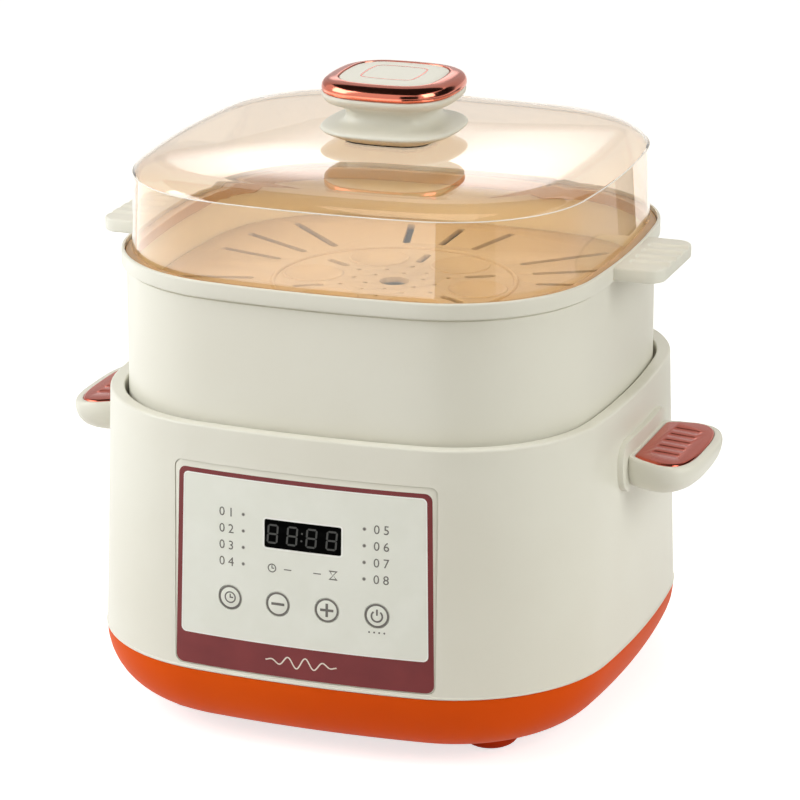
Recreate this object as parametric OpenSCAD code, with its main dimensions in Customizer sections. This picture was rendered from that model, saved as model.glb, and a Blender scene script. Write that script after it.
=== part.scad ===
// Electric stewing pot: a heated base, a stew pot, a lift-off steamer tier with a tray, and a clear lid.
// Millimetres. The feet rest on z = 0, the control panel faces -y and the handles lie along x.

/* [Base shell] */
// Width of the base across its sides, at the seam with the skirt
base_w = 276; // [268:1:290]
// Corner radius of the base in plan, at the seam
base_corner = 84; // [80:1:88]
// How far each side bows outward in plan
side_bow = 2.5; // [1.5:0.1:3.5]
// Height of the housing from the seam to the rim
housing_h = 128.8; // [126:0.2:138]
// Inward lean of the housing wall in degrees
draft = 1.9; // [1.6:0.1:2.2]
// Wall thickness of the housing
wall_t = 2.8; // [2.5:0.1:3]
// Width of the rim round the opening of the base
rim_w = 7.3; // [6.9:0.1:7.7]
// Depth of the ledge that carries the heating pan, below the rim
ledge_depth = 16.6; // [15:0.2:18]

/* [Skirt and feet] */
// Height of the orange skirt
skirt_h = 32; // [30:0.5:34]
// How far the skirt curves inward from the seam to its floor
skirt_inset = 21.2; // [20:0.2:23]
// Wall thickness of the skirt
skirt_t = 2.5; // [2.2:0.1:2.8]
// Height of the rubber feet
foot_h = 9; // [7:0.5:11]
// Radius of a foot at its top
foot_r = 15.5; // [14:0.5:17]
// Distance of each foot's axis from the sides of the base
foot_inset = 57; // [55:0.5:60]

/* [Heating pan] */
// Gap between the pan's wall and the base outline in plan
pan_inset = 28; // [27:0.2:29]
// Sheet thickness of the pan
pan_t = 1.5; // [1.2:0.1:1.8]
// Height of the pan's underside above the skirt's floor
pan_lift = 21.5; // [21:0.5:23]
// Radius of the heating element's ring
element_r = 70; // [60:1:76]
// Radius of the heating element's tube
element_tube = 4; // [3:0.25:4.5]

/* [Stew pot] */
// Water space between the pan's wall and the stew pot
pot_gap = 10.5; // [8.5:0.5:13.5]
// How much smaller the stew pot's corner radius is than the base's
pot_corner_drop = 32; // [28:1:34]
// Height of the stew pot
pot_h = 142; // [138:1:146]
// Wall thickness of the stew pot
pot_t = 5; // [4:0.25:6]

/* [Steamer tier] */
// Gap in plan between the tier's wall and the base outline at the seam
tier_inset = 12.6; // [12.2:0.1:13.2]
// How much smaller the tier's corner radius is than the base's
tier_corner_drop = 8; // [6:0.5:9]
// Wall thickness of the tier
tier_t = 3; // [2.6:0.1:3.4]
// How far the tier's rim stands above the base's rim
tier_rise = 72.2; // [68:0.2:80]
// Height of the rim band of the tier
band_h = 8; // [7:0.25:9]
// How far the rim band stands out from the tier's wall
band_out = 2.6; // [2.2:0.1:3]
// How far an ear stands out from the rim band
ear_out = 24; // [20:0.5:28]
// Width of an ear
ear_w = 62; // [56:1:68]

/* [Steaming tray] */
// Depth of the tray's face below the tier's rim
tray_depth = 28; // [26:0.5:30]
// Thickness of the tray
tray_t = 3; // [2.5:0.25:3.5]
// Width of a steam slot
slot_w = 4.2; // [3.5:0.1:5]
// Radius of the ring on which the egg cups lie
cup_ring = 45; // [43:0.5:47]
// Radius of an egg cup at the tray's face
cup_r = 14.5; // [13:0.25:15.5]
// Depth of an egg cup
cup_depth = 5; // [4:0.25:5.5]

/* [Lid] */
// Height of the lid's wall from the tier's rim to the edge line
lid_h = 35.5; // [32:0.5:40]
// Thickness of the lid
lid_t = 2.2; // [1.8:0.1:2.6]
// Height and depth of the rounded edge at the top of the wall
lid_edge = 9.5; // [8.5:0.25:10.5]
// Rise of the dome inside the rounded edge
lid_crown = 4; // [3:0.25:6]
// Radius of the steam vent in the lid
vent_r = 2.5; // [2:0.1:3]

/* [Knob] */
// Width of the knob across its flange
knob_w = 71.4; // [66:0.4:76]
// Corner radius of the knob in plan
knob_corner = 25; // [24:0.5:27]
// Height of the knob's spool, up to the copper ring
knob_h = 24.7; // [23:0.1:28]
// Height of the copper ring and the cap on the spool
knob_ring_h = 7.4; // [6.5:0.1:8.5]

/* [Handles] */
// How far a handle stands out from the wall
handle_out = 38; // [34:0.5:42]
// Half the width of a handle
handle_half = 38.5; // [35:0.5:41]
// How far a handle's face lies below the rim of the base
handle_drop = 25.3; // [22.8:0.1:30.8]
// Depth of a handle from its face to its underside
handle_deep = 18; // [15:0.5:20]
// Width of the plate behind a handle
plate_w = 79; // [76:1:82]
// Height of the plate behind a handle
plate_h = 26.5; // [25:0.5:28]
// Downward slope of a handle's face, in degrees
handle_slope = 4; // [2:0.5:5]

/* [Panel] */
// Width of the panel recess
recess_w = 139; // [137:0.5:142]
// Height of the panel recess
recess_h = 107; // [106:0.5:108]
// Depth of the panel recess, filled by the panel plate
recess_d = 1.6; // [1.4:0.1:1.8]
// Margin of the panel plate at the sides of the printed film, at its top
film_side = 2.6; // [2.2:0.1:3.2]
// Margin of the panel plate above the printed film
film_edge = 3.2; // [2.8:0.1:3.6]
// Margin of the panel plate beside and below the foot of the printed film
film_foot = 0.6; // [0.4:0.1:0.9]
// Thickness of the printed film
film_t = 0.35; // [0.25:0.05:0.5]
// Height of the panel's centre above the seam
panel_z = 56.25; // [55.5:0.25:57]
// Width of the display window
window_w = 40.4; // [38:0.2:44]
// Height of the display window
window_h = 14.5; // [13:0.25:16]
// Height of the display's centre above the seam
window_z = 77.8; // [76:0.2:80]
// Diameter of a key
key_d = 12.6; // [11.5:0.1:13.5]
// Distance of the outer keys from the edge of the film
key_margin = 27.9; // [26.4:0.25:30.9]
// Height of the keys above the seam
key_z = 41.5; // [39:0.5:44]
// Travel of a key
key_travel = 0.5; // [0.3:0.05:0.6]
// Distance of the indicator columns from the edge of the film
dot_margin = 34.9; // [32.9:0.25:35.9]
// Spacing of the indicators in a column
dot_pitch = 8.6; // [8:0.1:9]

/* [Inlet and screws] */
// Width of the power inlet's body
inlet_w = 30.4; // [30:0.2:32]
// Height of the power inlet's body
inlet_h = 22.4; // [22:0.2:24]
// Height of the power inlet's centre above the seam
inlet_z = 18; // [17:0.5:19]
// Radius of a skirt screw's shank
screw_r = 1.9; // [1.6:0.1:2.1]
// Radius of a handle screw's shank
handle_screw_r = 1.6; // [1.4:0.1:1.8]

/* [Fits] */
// Clearance between loose parts
gap = 0.3; // [0.25:0.05:0.35]
// Clearance round a key
key_gap = 0.25; // [0.2:0.05:0.3]

/* [Hidden] */
$fn = 72;
side_fn = 720;
proud = 0.02;

// Sizes that follow from the ones above
tier_w = base_w - 2 * tier_inset;
tier_corner = base_corner - tier_corner_drop;
pot_w = base_w - 2 * (pan_inset + pan_t + pot_gap);
pot_corner = base_corner - pot_corner_drop;
foot_at = base_w / 2 - foot_inset;
handle_z = housing_h - handle_drop;
film_w = recess_w - 2 * film_side;
film_h = recess_h - film_edge - film_foot;
film_corner = 3.5;
recess_corner = film_foot + film_corner;
key_pitch = (film_w - 2 * key_margin) / 3;
dot_x = film_w / 2 - dot_margin;
opening_w = recess_w - 27;
opening_h = recess_h - 25;
panel_board_w = film_w - 27.8;
panel_board_h = film_h - 23.2;
post_x = panel_board_w / 2 - 7;
post_dz = panel_board_h / 2 - 7;
collar_t = 0.8;
collar_gap = 0.6;

base_plan = [base_w / 2, base_corner, side_bow];
pot_plan = [pot_w / 2, pot_corner, side_bow * 0.8];
tier_plan = [tier_w / 2, tier_corner, side_bow * 0.92];
knob_plan = [knob_w / 2, knob_corner, side_bow * 0.24];

z_floor = foot_h;
z_seam = foot_h + skirt_h;
z_rim = z_seam + housing_h;
z_ledge = z_rim - ledge_depth;
gasket_t = 1;
z_flange = z_ledge + gasket_t;
z_tier = z_flange + 1.2;
z_pan = z_floor + skirt_t + pan_lift;
z_pan_in = z_pan + pan_t;
z_pot = z_pan_in;
z_pot_top = z_pot + pot_h;
z_top = z_rim + tier_rise;
z_band = z_top - band_h;
z_seat = z_top - 4.3;
z_tray = z_top - tray_depth;
z_shelf = z_tray - tray_t;
z_line = z_top + lid_h;
z_dome = z_line + lid_edge;
z_crown = z_dome + lid_crown;
seal_t = 0.8;
z_knob = z_crown + seal_t;
z_ring = z_knob + knob_h;

skirt_r = (skirt_inset * skirt_inset + skirt_h * skirt_h) / (2 * skirt_inset);
rim_off = lean(z_rim);
open_off = rim_off - rim_w;
ledge_off = -pan_inset + 1.8;

// Where the skirt screws and their bosses stand
boss_x = base_w / 2 - 23.5;
boss_y = base_w / 2 - 76;
boss_z = z_floor + 9.5;
// Lid offsets from the tier outline: flange, foot of the wall, top of the wall
lid_flange = 0.4;
lid_foot = -2.8;
lid_head = -4.1;

// Control board: the face that carries the switches
board_y = -base_w / 2 + 14;
board_t = 1.6;
switch_h = 3.8;
plunger_h = 1.2;
key_xs = [-1.5, -0.5, 0.5, 1.5];
dot_rows = [0, 1, 2, 3];
dot_top = 85.8;

// Power board at the rear, above the inlet
power_y = base_w / 2 - 16;
power_z = z_seam + 38;
power_h = 62;
power_w = 92;

// A plan outline is [half width, corner radius, side bow]: four bowed sides and four round corners
function side_r(p) = ((p[0] - p[1]) * (p[0] - p[1]) + p[2] * p[2]) / (2 * p[2]);
function side_e(p) = side_r(p) - p[0];
function corner_at(p) =
    (-side_e(p) + sqrt(2 * pow(side_r(p) - p[1], 2) - pow(side_e(p), 2))) / 2;
function side_a(p) = atan2(corner_at(p), corner_at(p) + side_e(p));

// The outline's points, moved outward by off
function outline(p, off = 0, ns = 4, nc = 14) =
    [for (q = [0 : 3]) each
        [for (i = [0 : ns + nc - 1])
            let (a = side_a(p), k = corner_at(p))
            let (s = i < ns ? -a + 2 * a * i / ns : a + (90 - 2 * a) * (i - ns) / nc)
            let (x = i < ns ? -side_e(p) + (side_r(p) + off) * cos(s) : k + (p[1] + off) * cos(s))
            let (y = i < ns ? (side_r(p) + off) * sin(s) : k + (p[1] + off) * sin(s))
            [x * cos(90 * q) - y * sin(90 * q), x * sin(90 * q) + y * cos(90 * q)]]];

// Distance from the centre to the outline along a direction
function reach(p, dir) =
    let (f = abs((dir + 45) % 90 - 45), k = corner_at(p), c = cos(f) + sin(f))
    let (a = side_a(p), e = side_e(p), big = side_r(p))
    f > atan2(big * sin(a), big * cos(a) - e)
        ? k * c + sqrt(k * k * c * c - 2 * k * k + p[1] * p[1])
        : -e * cos(f) + sqrt(e * e * cos(f) * cos(f) - e * e + big * big);

// Offset of the leaning housing wall at a height
function lean(z) = -(z - z_seam) * tan(draft);

// Depth of the front wall's face at a place within the front side
function front_y(x, z) = -base_w / 2 - lean(z) + x * x / (2 * side_r(base_plan));

// Points of an arc about a centre
function arc(c, r, a0, a1, n = 5) =
    [for (i = [0 : n]) [c[0] + r * cos(a0 + (a1 - a0) * i / n), c[1] + r * sin(a0 + (a1 - a0) * i / n)]];

// Points of a plan at one height
function level(pts, z) = [for (q = pts) [q[0], q[1], z]];
function sized(pts, s) = [for (q = pts) [q[0] * s, q[1] * s]];

// A profile of [offset, height] carried round a plan outline. The corners stand a hair proud of the
// sides and each side runs a little way into its corners, so that the eight pieces join
module swept(p, sides = [0, 1, 2, 3], corners = [0, 1, 2, 3]) {
    a = side_a(p);
    k = corner_at(p);
    over = 0.4 / side_r(p) * 180 / PI;
    for (i = sides)
        rotate(90 * i)
            translate([-side_e(p), 0, 0])
                rotate_extrude(angle = 2 * (a + over), start = -a - over, $fn = side_fn)
                    translate([side_r(p), 0])
                        children();
    for (i = corners)
        rotate(90 * i)
            translate([k, k, 0])
                rotate_extrude(angle = 90 - 2 * a, start = a)
                    translate([p[1] + proud, 0])
                        children();
}

// A flat plate that fills a plan outline
module plate(p, off, z0, z1) {
    translate([0, 0, z0])
        linear_extrude(z1 - z0)
            polygon(outline(p, off));
}

// A skin through rings of equal count, closed from the last ring to the first
module ring_loft(rings) {
    n = len(rings[0]);
    m = len(rings);
    faces = [for (j = [0 : m - 1], i = [0 : n - 1])
        let (a = j * n + i, b = j * n + (i + 1) % n)
        let (c = ((j + 1) % m) * n + i, d = ((j + 1) % m) * n + (i + 1) % n)
        each [[a, d, b], [a, c, d]]];
    polyhedron(points = [for (r = rings) each r], faces = faces);
}

// A skin through rings of equal count, with a flat cap at each end
module capped_loft(rings) {
    n = len(rings[0]);
    m = len(rings);
    skin = [for (j = [0 : m - 2], i = [0 : n - 1])
        let (a = j * n + i, b = j * n + (i + 1) % n, c = a + n, d = b + n)
        each [[a, d, b], [a, c, d]]];
    low = [for (i = [1 : n - 2]) [0, i, i + 1]];
    high = [for (i = [1 : n - 2]) [(m - 1) * n, (m - 1) * n + i + 1, (m - 1) * n + i]];
    polyhedron(points = [for (r = rings) each r], faces = concat(skin, low, high));
}

// A rectangle with round corners
module rounded(w, h, r) {
    square([w - 2 * r, h], center = true);
    square([w, h - 2 * r], center = true);
    for (x = [-1, 1], y = [-1, 1])
        translate([x * (w / 2 - r), y * (h / 2 - r)])
            circle(r);
}

// A slot with round ends, along x from x0 to x1
module slot(x0, x1, w) {
    translate([x0 + w / 2, -w / 2])
        square([x1 - x0 - w, w]);
    for (x = [x0 + w / 2, x1 - w / 2])
        translate([x, 0])
            circle(w / 2);
}

// A front shape drawn in x and z, run through the front wall
module through_front(depth = 30) {
    translate([0, -base_w / 2 + depth, 0])
        rotate([90, 0, 0])
            linear_extrude(depth + 5)
                children();
}

// A layer of the leaning front wall between two offsets
module front_layer(o0, o1, z0, z1) {
    swept(base_plan, [3], [2, 3])
        polygon([[lean(z0) + o0, z0], [lean(z0) + o1, z0], [lean(z1) + o1, z1], [lean(z1) + o0, z1]]);
}

// A rod along y between two depths
module rod_y(x, z, r, y0, y1) {
    translate([x, y1, z])
        rotate([90, 0, 0])
            cylinder(r = r, h = y1 - y0);
}

// A rod along x between two places
module rod_x(y, z, r, x0, x1) {
    translate([x0, y, z])
        rotate([0, 90, 0])
            cylinder(r = r, h = x1 - x0);
}

// The film's outline, a little wider at its foot
module film_shape() {
    top = film_w / 2 - 4;
    foot = recess_w / 2 - film_foot - film_corner;
    z1 = recess_h / 2 - film_edge - 4;
    z0 = -recess_h / 2 + film_foot + film_corner;
    translate([0, z_seam + panel_z])
        polygon(concat(
            arc([top, z1], 4, 0, 90), arc([-top, z1], 4, 90, 180),
            arc([-foot, z0], film_corner, 180, 270), arc([foot, z0], film_corner, 270, 360)));
}

module recess_shape(grow = 0) {
    translate([0, z_seam + panel_z])
        rounded(recess_w + 2 * grow, recess_h + 2 * grow, recess_corner);
}

module window_shape(grow = 0) {
    translate([0.6, z_seam + window_z])
        square([window_w + 2 * grow, window_h + 2 * grow], center = true);
}

module key_shape(grow = 0) {
    for (i = key_xs)
        translate([i * key_pitch + 0.6, z_seam + key_z])
            circle(key_d / 2 + grow);
}

module dot_shape(grow = 0) {
    for (s = [-1, 1], i = dot_rows)
        translate([s * dot_x + 0.8, z_seam + dot_top - i * dot_pitch])
            circle(1 + grow);
}

module base_housing() {
    profile = concat(
        [[0, z_seam], [lean(z_rim - 1.4), z_rim - 1.4]],
        arc([rim_off - 1.4, z_rim - 1.4], 1.4, 20, 90, 3),
        [[open_off + 0.8, z_rim], [open_off, z_rim - 0.8], [open_off, z_ledge], [ledge_off, z_ledge],
         [ledge_off, z_ledge - 2.5], [open_off + 2.2, z_ledge - 2.5], [open_off + 2.2, z_rim - 2.6],
         [rim_off - wall_t, z_rim - 2.6], [-wall_t, z_seam]]);
    color("Cornsilk")
    difference() {
        union() {
            swept(base_plan)
                polygon(profile);
            for (x = [-1, 1], y = [-1, 1])
                translate([x * boss_x, y * boss_y, boss_z])
                    cylinder(r = 4.5, h = 50);
            for (x = [-1, 1], y = [-1, 1])
                translate([x * (boss_x + 10.5) - 9, y * boss_y - 1, z_seam + 6])
                    cube([18, 2, boss_z + 44 - z_seam]);
            for (x = [-40, 40], z = [power_z + 5, power_z + power_h - 5])
                rod_y(x, z, 3.5, power_y + board_t, -front_y(x, z) - wall_t / 2);
        }
        intersection() {
            front_layer(-recess_d, 4, z_seam - 3, z_rim - 5);
            through_front()
                recess_shape();
        }
        through_front(20)
            translate([0, z_seam + panel_z])
                square([opening_w, opening_h], center = true);
        for (x = [-1, 1], y = [-1, 1])
            translate([x * boss_x, y * boss_y, boss_z - 1])
                cylinder(r = screw_r + 0.1, h = 30);
        for (s = [0, 180], y = [-22, 22])
            rotate(s)
                rod_x(y, z_seam + handle_z - 7, handle_screw_r + 0.6, base_w / 2 - 15, base_w / 2 + 5);
        translate([0, base_w / 2 + 5, z_seam + inlet_z])
            rotate([90, 0, 0])
                linear_extrude(20)
                    rounded(inlet_w + 2 * gap, inlet_h + 2 * gap, 2);
    }
}

module base_skirt() {
    low_a = asin(skirt_h / skirt_r);
    in_a = asin((skirt_h - skirt_t) / (skirt_r - skirt_t));
    color("OrangeRed")
    difference() {
        union() {
            swept(base_plan)
                polygon(concat(
                    arc([-skirt_r, z_seam], skirt_r, 0, -low_a, 10),
                    [[-skirt_inset - 6, z_floor], [-skirt_inset - 6, z_floor + skirt_t]],
                    arc([-skirt_r, z_seam], skirt_r - skirt_t, -in_a, -14, 6),
                    [[-wall_t - 2.2, z_seam - 5], [-wall_t - 2.2, z_seam + 4], [-wall_t - 0.35, z_seam + 4],
                     [-wall_t - 0.2, z_seam]]));
            plate(base_plan, -skirt_inset - 3, z_floor, z_floor + skirt_t);
            for (x = [-1, 1], y = [-1, 1])
                translate([x * boss_x, y * boss_y, boss_z - 5])
                    cylinder(r = 6.5, h = 5);
        }
        for (x = [-1, 1], y = [-1, 1])
            translate([x * boss_x, y * boss_y, 0])
                cylinder(r = 4.2, h = boss_z - 2);
        for (x = [-1, 1], y = [-1, 1])
            translate([x * boss_x, y * boss_y, 0])
                cylinder(r = screw_r + gap, h = boss_z + 1);
        for (x = [-foot_at, foot_at], y = [-foot_at, foot_at])
            translate([x, y, 0])
                cylinder(r = 4, h = z_floor + skirt_t + 1);
        for (s = [-1, 1], i = [-3 : 3])
            translate([s * 34, i * 11, z_floor - 1])
                linear_extrude(skirt_t + 2)
                    slot(-22, 22, 4);
    }
}

module rubber_feet() {
    color("OrangeRed")
    for (x = [-foot_at, foot_at], y = [-foot_at, foot_at])
        translate([x, y, 0]) {
            rotate_extrude()
                polygon([[0, 0], [foot_r - 8, 0], [foot_r - 5, 0.6], [foot_r - 2.4, 2.2],
                         [foot_r - 0.6, 4.6], [foot_r, foot_h], [0, foot_h]]);
            cylinder(r = 4, h = z_floor + skirt_t);
            translate([0, 0, z_floor + skirt_t])
                cylinder(r1 = 5.5, r2 = 3.5, h = 2.5);
        }
}

module skirt_screws() {
    color("Silver")
    for (x = [-1, 1], y = [-1, 1])
        translate([x * boss_x, y * boss_y, boss_z - 5])
            difference() {
                union() {
                    cylinder(r = 3.6, h = 3);
                    cylinder(r = screw_r, h = 20);
                }
                translate([-0.5, -2.6, -1])
                    cube([1, 5.2, 2]);
                translate([-2.6, -0.5, -1])
                    cube([5.2, 1, 2]);
            }
}

module heating_pan() {
    fillet = 14;
    outer = arc([-pan_inset - fillet, z_pan + fillet], fillet, 0, -90, 7);
    inner = arc([-pan_inset - fillet, z_pan + fillet], fillet - pan_t, -90, 0, 7);
    color("Goldenrod") {
        swept(base_plan)
            polygon(concat(
                [[open_off - 1.2, z_flange + 1.2], [open_off - 1.2, z_flange], [-pan_inset, z_flange]],
                outer,
                [[-pan_inset - fillet - 10, z_pan], [-pan_inset - fillet - 10, z_pan_in]],
                inner,
                [[-pan_inset - pan_t, z_flange + 1.2]]));
        plate(base_plan, -pan_inset - fillet - 5, z_pan, z_pan_in);
    }
}

module pan_gasket() {
    color("SlateGray")
    swept(base_plan)
        translate([ledge_off + 1, z_ledge])
            square([open_off - ledge_off - 2.5, gasket_t]);
}

module heater_plate() {
    color("Silver")
    translate([0, 0, z_pan - 4])
        difference() {
            cylinder(r = element_r + 14, h = 4);
            translate([0, 0, -1])
                cylinder(r = 11, h = 6);
        }
}

module heating_element() {
    z = z_pan - 4 - element_tube;
    color("Gray") {
        translate([0, 0, z])
            rotate(105)
                rotate_extrude(angle = 330)
                    translate([element_r, 0])
                        circle(element_tube);
        for (s = [105, 75])
            rotate(s)
                translate([element_r, 0, z - 9])
                    cylinder(r = element_tube, h = 9);
    }
}

module temperature_sensor() {
    color("Silver")
    translate([0, 0, z_pan - 12]) {
        cylinder(r = 9, h = 12);
        translate([0, 0, -3])
            cylinder(r = 4, h = 3);
    }
}

module sensor_bracket() {
    color("Gray")
    difference() {
        union() {
            translate([-30, -7, z_pan - 13.2])
                cube([60, 14, 1.2]);
            for (x = [-30, 28.8])
                translate([x, -7, z_pan - 13.2])
                    cube([1.2, 14, 9.2]);
        }
        translate([0, 0, z_pan - 16])
            cylinder(r = 4 + gap, h = 6);
    }
}

module thermal_fuse() {
    z = z_pan - 6.2;
    color("LightGray") {
        rod_x(40, z, 2.2, -7, 7);
        rod_x(40, z, 0.6, -16, 16);
    }
}

module power_board() {
    x0 = -power_w / 2;
    color("DarkGreen") {
        translate([x0, power_y, power_z])
            cube([power_w, board_t, power_h]);
        translate([-38, power_y - 8, power_z + 34])
            cube([19, 8, 15]);
        translate([-10, power_y - 8.5, power_z + 32])
            cube([22, 8.5, 20]);
        rod_y(28, power_z + 44, 5, power_y - 8, power_y);
        rod_y(28, power_z + 30, 4, power_y - 7, power_y);
        translate([-36, power_y - 6, power_z + 8])
            cube([12, 6, 14]);
        translate([4, power_y - 5, power_z + 8])
            cube([30, 5, 10]);
    }
}

module power_inlet() {
    y1 = base_w / 2 - 1.6;
    color("DimGray")
    translate([0, 0, z_seam + inlet_z])
        difference() {
            union() {
                translate([0, y1, 0])
                    rotate([90, 0, 0])
                        linear_extrude(19.6)
                            rounded(inlet_w, inlet_h, 2);
                translate([-inlet_w / 2 - 3, y1 - 6, -inlet_h / 2 - 3])
                    cube([inlet_w + 6, 2, inlet_h + 6]);
            }
            translate([0, y1 + 1, 0])
                rotate([90, 0, 0])
                    linear_extrude(17)
                        polygon([[-12.2, -8.4], [12.2, -8.4], [12.2, 4.4], [8.2, 8.4], [-8.2, 8.4], [-12.2, 4.4]]);
            for (q = [[-7, -2], [7, -2], [0, 2]])
                translate([q[0] - 1.02, y1 - 25, q[1] - 2.02])
                    cube([2.04, 26, 4.04]);
        }
}

module inlet_pins() {
    y1 = base_w / 2 - 1.6;
    color("Goldenrod")
    for (q = [[-7, -2], [7, -2], [0, 2]])
        translate([q[0] - 1, y1 - 23, z_seam + inlet_z + q[1] - 2])
            cube([2, 20.5, 4]);
}

module panel_plate() {
    z0 = z_seam + panel_z;
    color("Ivory")
    difference() {
        union() {
            intersection() {
                front_layer(2 * proud - recess_d, -film_t, z_seam - 2, z_rim - 6);
                through_front()
                    recess_shape(-0.2);
            }
            for (x = [-post_x, post_x], z = [z0 + 1 - post_dz, z0 + 1 + post_dz])
                rod_y(x, z, 3, front_y(x, z) + recess_d / 2, board_y);
        }
        through_front()
            window_shape(0.4);
        through_front()
            key_shape(key_gap);
        through_front()
            dot_shape(0.15);
    }
}

module panel_film() {
    color("WhiteSmoke")
    difference() {
        intersection() {
            front_layer(2 * proud - film_t, 0, z_seam - 2, z_rim - 6);
            through_front()
                film_shape();
        }
        through_front()
            window_shape(0.1);
        through_front()
            key_shape(key_gap);
        through_front()
            dot_shape(0.15);
    }
}

module display_window() {
    color("Black")
    intersection() {
        front_layer(-film_t, 0, z_seam + window_z - 20, z_seam + window_z + 20);
        through_front()
            window_shape();
    }
}

module display_module() {
    y0 = front_y(window_w / 2 + 0.6, z_seam + window_z + window_h / 2) + film_t + 0.1;
    color("DarkSlateGray")
    translate([0.6 - window_w / 2, y0, z_seam + window_z - window_h / 2])
        cube([window_w, board_y - y0, window_h]);
}

module indicator_guides() {
    color("LightGray")
    intersection() {
        front_layer(-18, 0, z_seam + 20, z_seam + 110);
        translate([0, board_y, 0])
            rotate([90, 0, 0])
                linear_extrude(30)
                    dot_shape();
    }
}

module control_board() {
    z0 = z_seam + panel_z;
    color("DarkGreen")
    difference() {
        translate([-panel_board_w / 2, board_y, z0 + 1 - panel_board_h / 2])
            cube([panel_board_w, board_t, panel_board_h]);
        for (x = [-post_x, post_x], z = [z0 + 1 - post_dz, z0 + 1 + post_dz])
            rod_y(x, z, 1.5, board_y - 1, board_y + board_t + 1);
    }
}

module key_switches() {
    color("Gray")
    for (i = key_xs)
        translate([i * key_pitch + 0.6, 0, z_seam + key_z]) {
            translate([-3, board_y - switch_h, -3])
                cube([6, switch_h, 6]);
            rod_y(0, 0, 1.7, board_y - switch_h - plunger_h, board_y - switch_h);
        }
}

// One key: a cap flush with the film, a collar behind the plate and a stem to its switch
module key(i) {
    x = key_xs[i] * key_pitch + 0.6;
    z = z_seam + key_z;
    tip = board_y - switch_h - plunger_h - key_travel - 0.05;
    collar_r = key_d / 2 + 1;
    collar = front_y(abs(x) + collar_r, z + collar_r) + recess_d + collar_gap + collar_t;
    color("White") {
        intersection() {
            front_layer(-1.5, 0, z - 20, z + 20);
            rod_y(x, z, key_d / 2, -base_w / 2 - 3, -base_w / 2 + 15);
        }
        rod_y(x, z, key_d / 2 - 1.5, front_y(x, z) + 0.8, collar);
        rod_y(x, z, collar_r, collar - collar_t, collar);
        rod_y(x, z, 2.5, collar - 0.2, tip);
    }
}

module key_timer() {
    key(0);
}

module key_minus() {
    key(1);
}

module key_plus() {
    key(2);
}

module key_function() {
    key(3);
}

// Plan of the right handle: a tapering root and a broad rounded end
function handle_outline(root, out, half, n = 18) =
    let (mid = root + (out - root) * 0.5)
    concat(
        [[root, -half + 8], [root + 2.5, -half + 4.8], [root + 6, -half + 2.8]],
        [for (i = [0 : n])
            let (a = -90 + 180 * i / n, s = sin(a))
            [mid + (out - mid) * pow(max(cos(a), 0), 0.62), half * sign(s) * pow(abs(s), 0.68)]],
        [[root + 6, half - 2.8], [root + 2.5, half - 4.8], [root, half - 8]]);

// Turns a handle about the foot of its face, so that the face slopes down outward
module sloped() {
    wall = base_w / 2 - handle_z * tan(draft);
    translate([wall, 0, z_seam + handle_z])
        rotate([0, handle_slope, 0])
            translate([-wall, 0, -z_seam - handle_z])
                children();
}

module handle() {
    face = z_seam + handle_z;
    wall = base_w / 2 - handle_z * tan(draft);
    root = wall + handle_deep * sin(handle_slope) + 0.85;
    out = wall + handle_out;
    steps = [[1, -16, 0.62], [0.93, -10, 0.77], [0.8, -5, 0.88], [0.6, -1.5, 0.95], [0.4, -0.2, 0.99],
             [0.2, 0, 1], [0.06, -0.4, 0.99], [0, -1.6, 0.965]];
    color("Cornsilk")
    difference() {
        union() {
            sloped()
                capped_loft([for (s = steps)
                    level(handle_outline(root, out + s[1], handle_half * s[2]), face - 0.8 - handle_deep * s[0])]);
            intersection() {
                swept(base_plan, [0], [0, 3])
                    polygon([[lean(z_seam + 60), z_seam + 60], [lean(z_seam + 60) + 3, z_seam + 60],
                             [lean(z_rim - 4) + 3, z_rim - 4], [lean(z_rim - 4), z_rim - 4]]);
                translate([base_w / 2 - 30, 0, face - 6.5])
                    rotate([90, 0, 90])
                        linear_extrude(40)
                            rounded(plate_w, plate_h, 11);
            }
        }
        sloped()
            translate([0, 0, face - 2.8])
                linear_extrude(10)
                    polygon(trim_outline(0.15));
        for (y = [-22, 22])
            rod_x(y, face - 7, handle_screw_r + 0.1, base_w / 2 - 20, base_w / 2 + 16);
    }
}

function trim_outline(grow) =
    let (wall = base_w / 2 - handle_z * tan(draft))
    handle_outline(wall + 4.6 - grow, wall + handle_out - 4.6 + grow, handle_half - 3.2 + grow);

module handle_trim() {
    face = z_seam + handle_z;
    color("Sienna")
    sloped()
        difference() {
            translate([0, 0, face - 2.8])
                linear_extrude(2.8)
                    polygon(trim_outline(0));
            for (y = [-20, -10, 0, 10, 20])
                rod_x(y, face + 3.2, 4, base_w / 2 + 6, base_w / 2 + 24);
        }
}

module handle_right() {
    handle();
}

module handle_left() {
    mirror([1, 0, 0])
        handle();
}

module handle_trim_right() {
    handle_trim();
}

module handle_trim_left() {
    mirror([1, 0, 0])
        handle_trim();
}

module handle_screws() {
    z = z_seam + handle_z - 7;
    x = base_w / 2 - handle_z * tan(draft) - wall_t - 0.7;
    color("Silver")
    for (s = [0, 180], y = [-22, 22])
        rotate(s) {
            rod_x(y, z, handle_screw_r, x - 1, x + 20);
            rod_x(y, z, 3.4, x - 2.6, x);
        }
}

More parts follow.
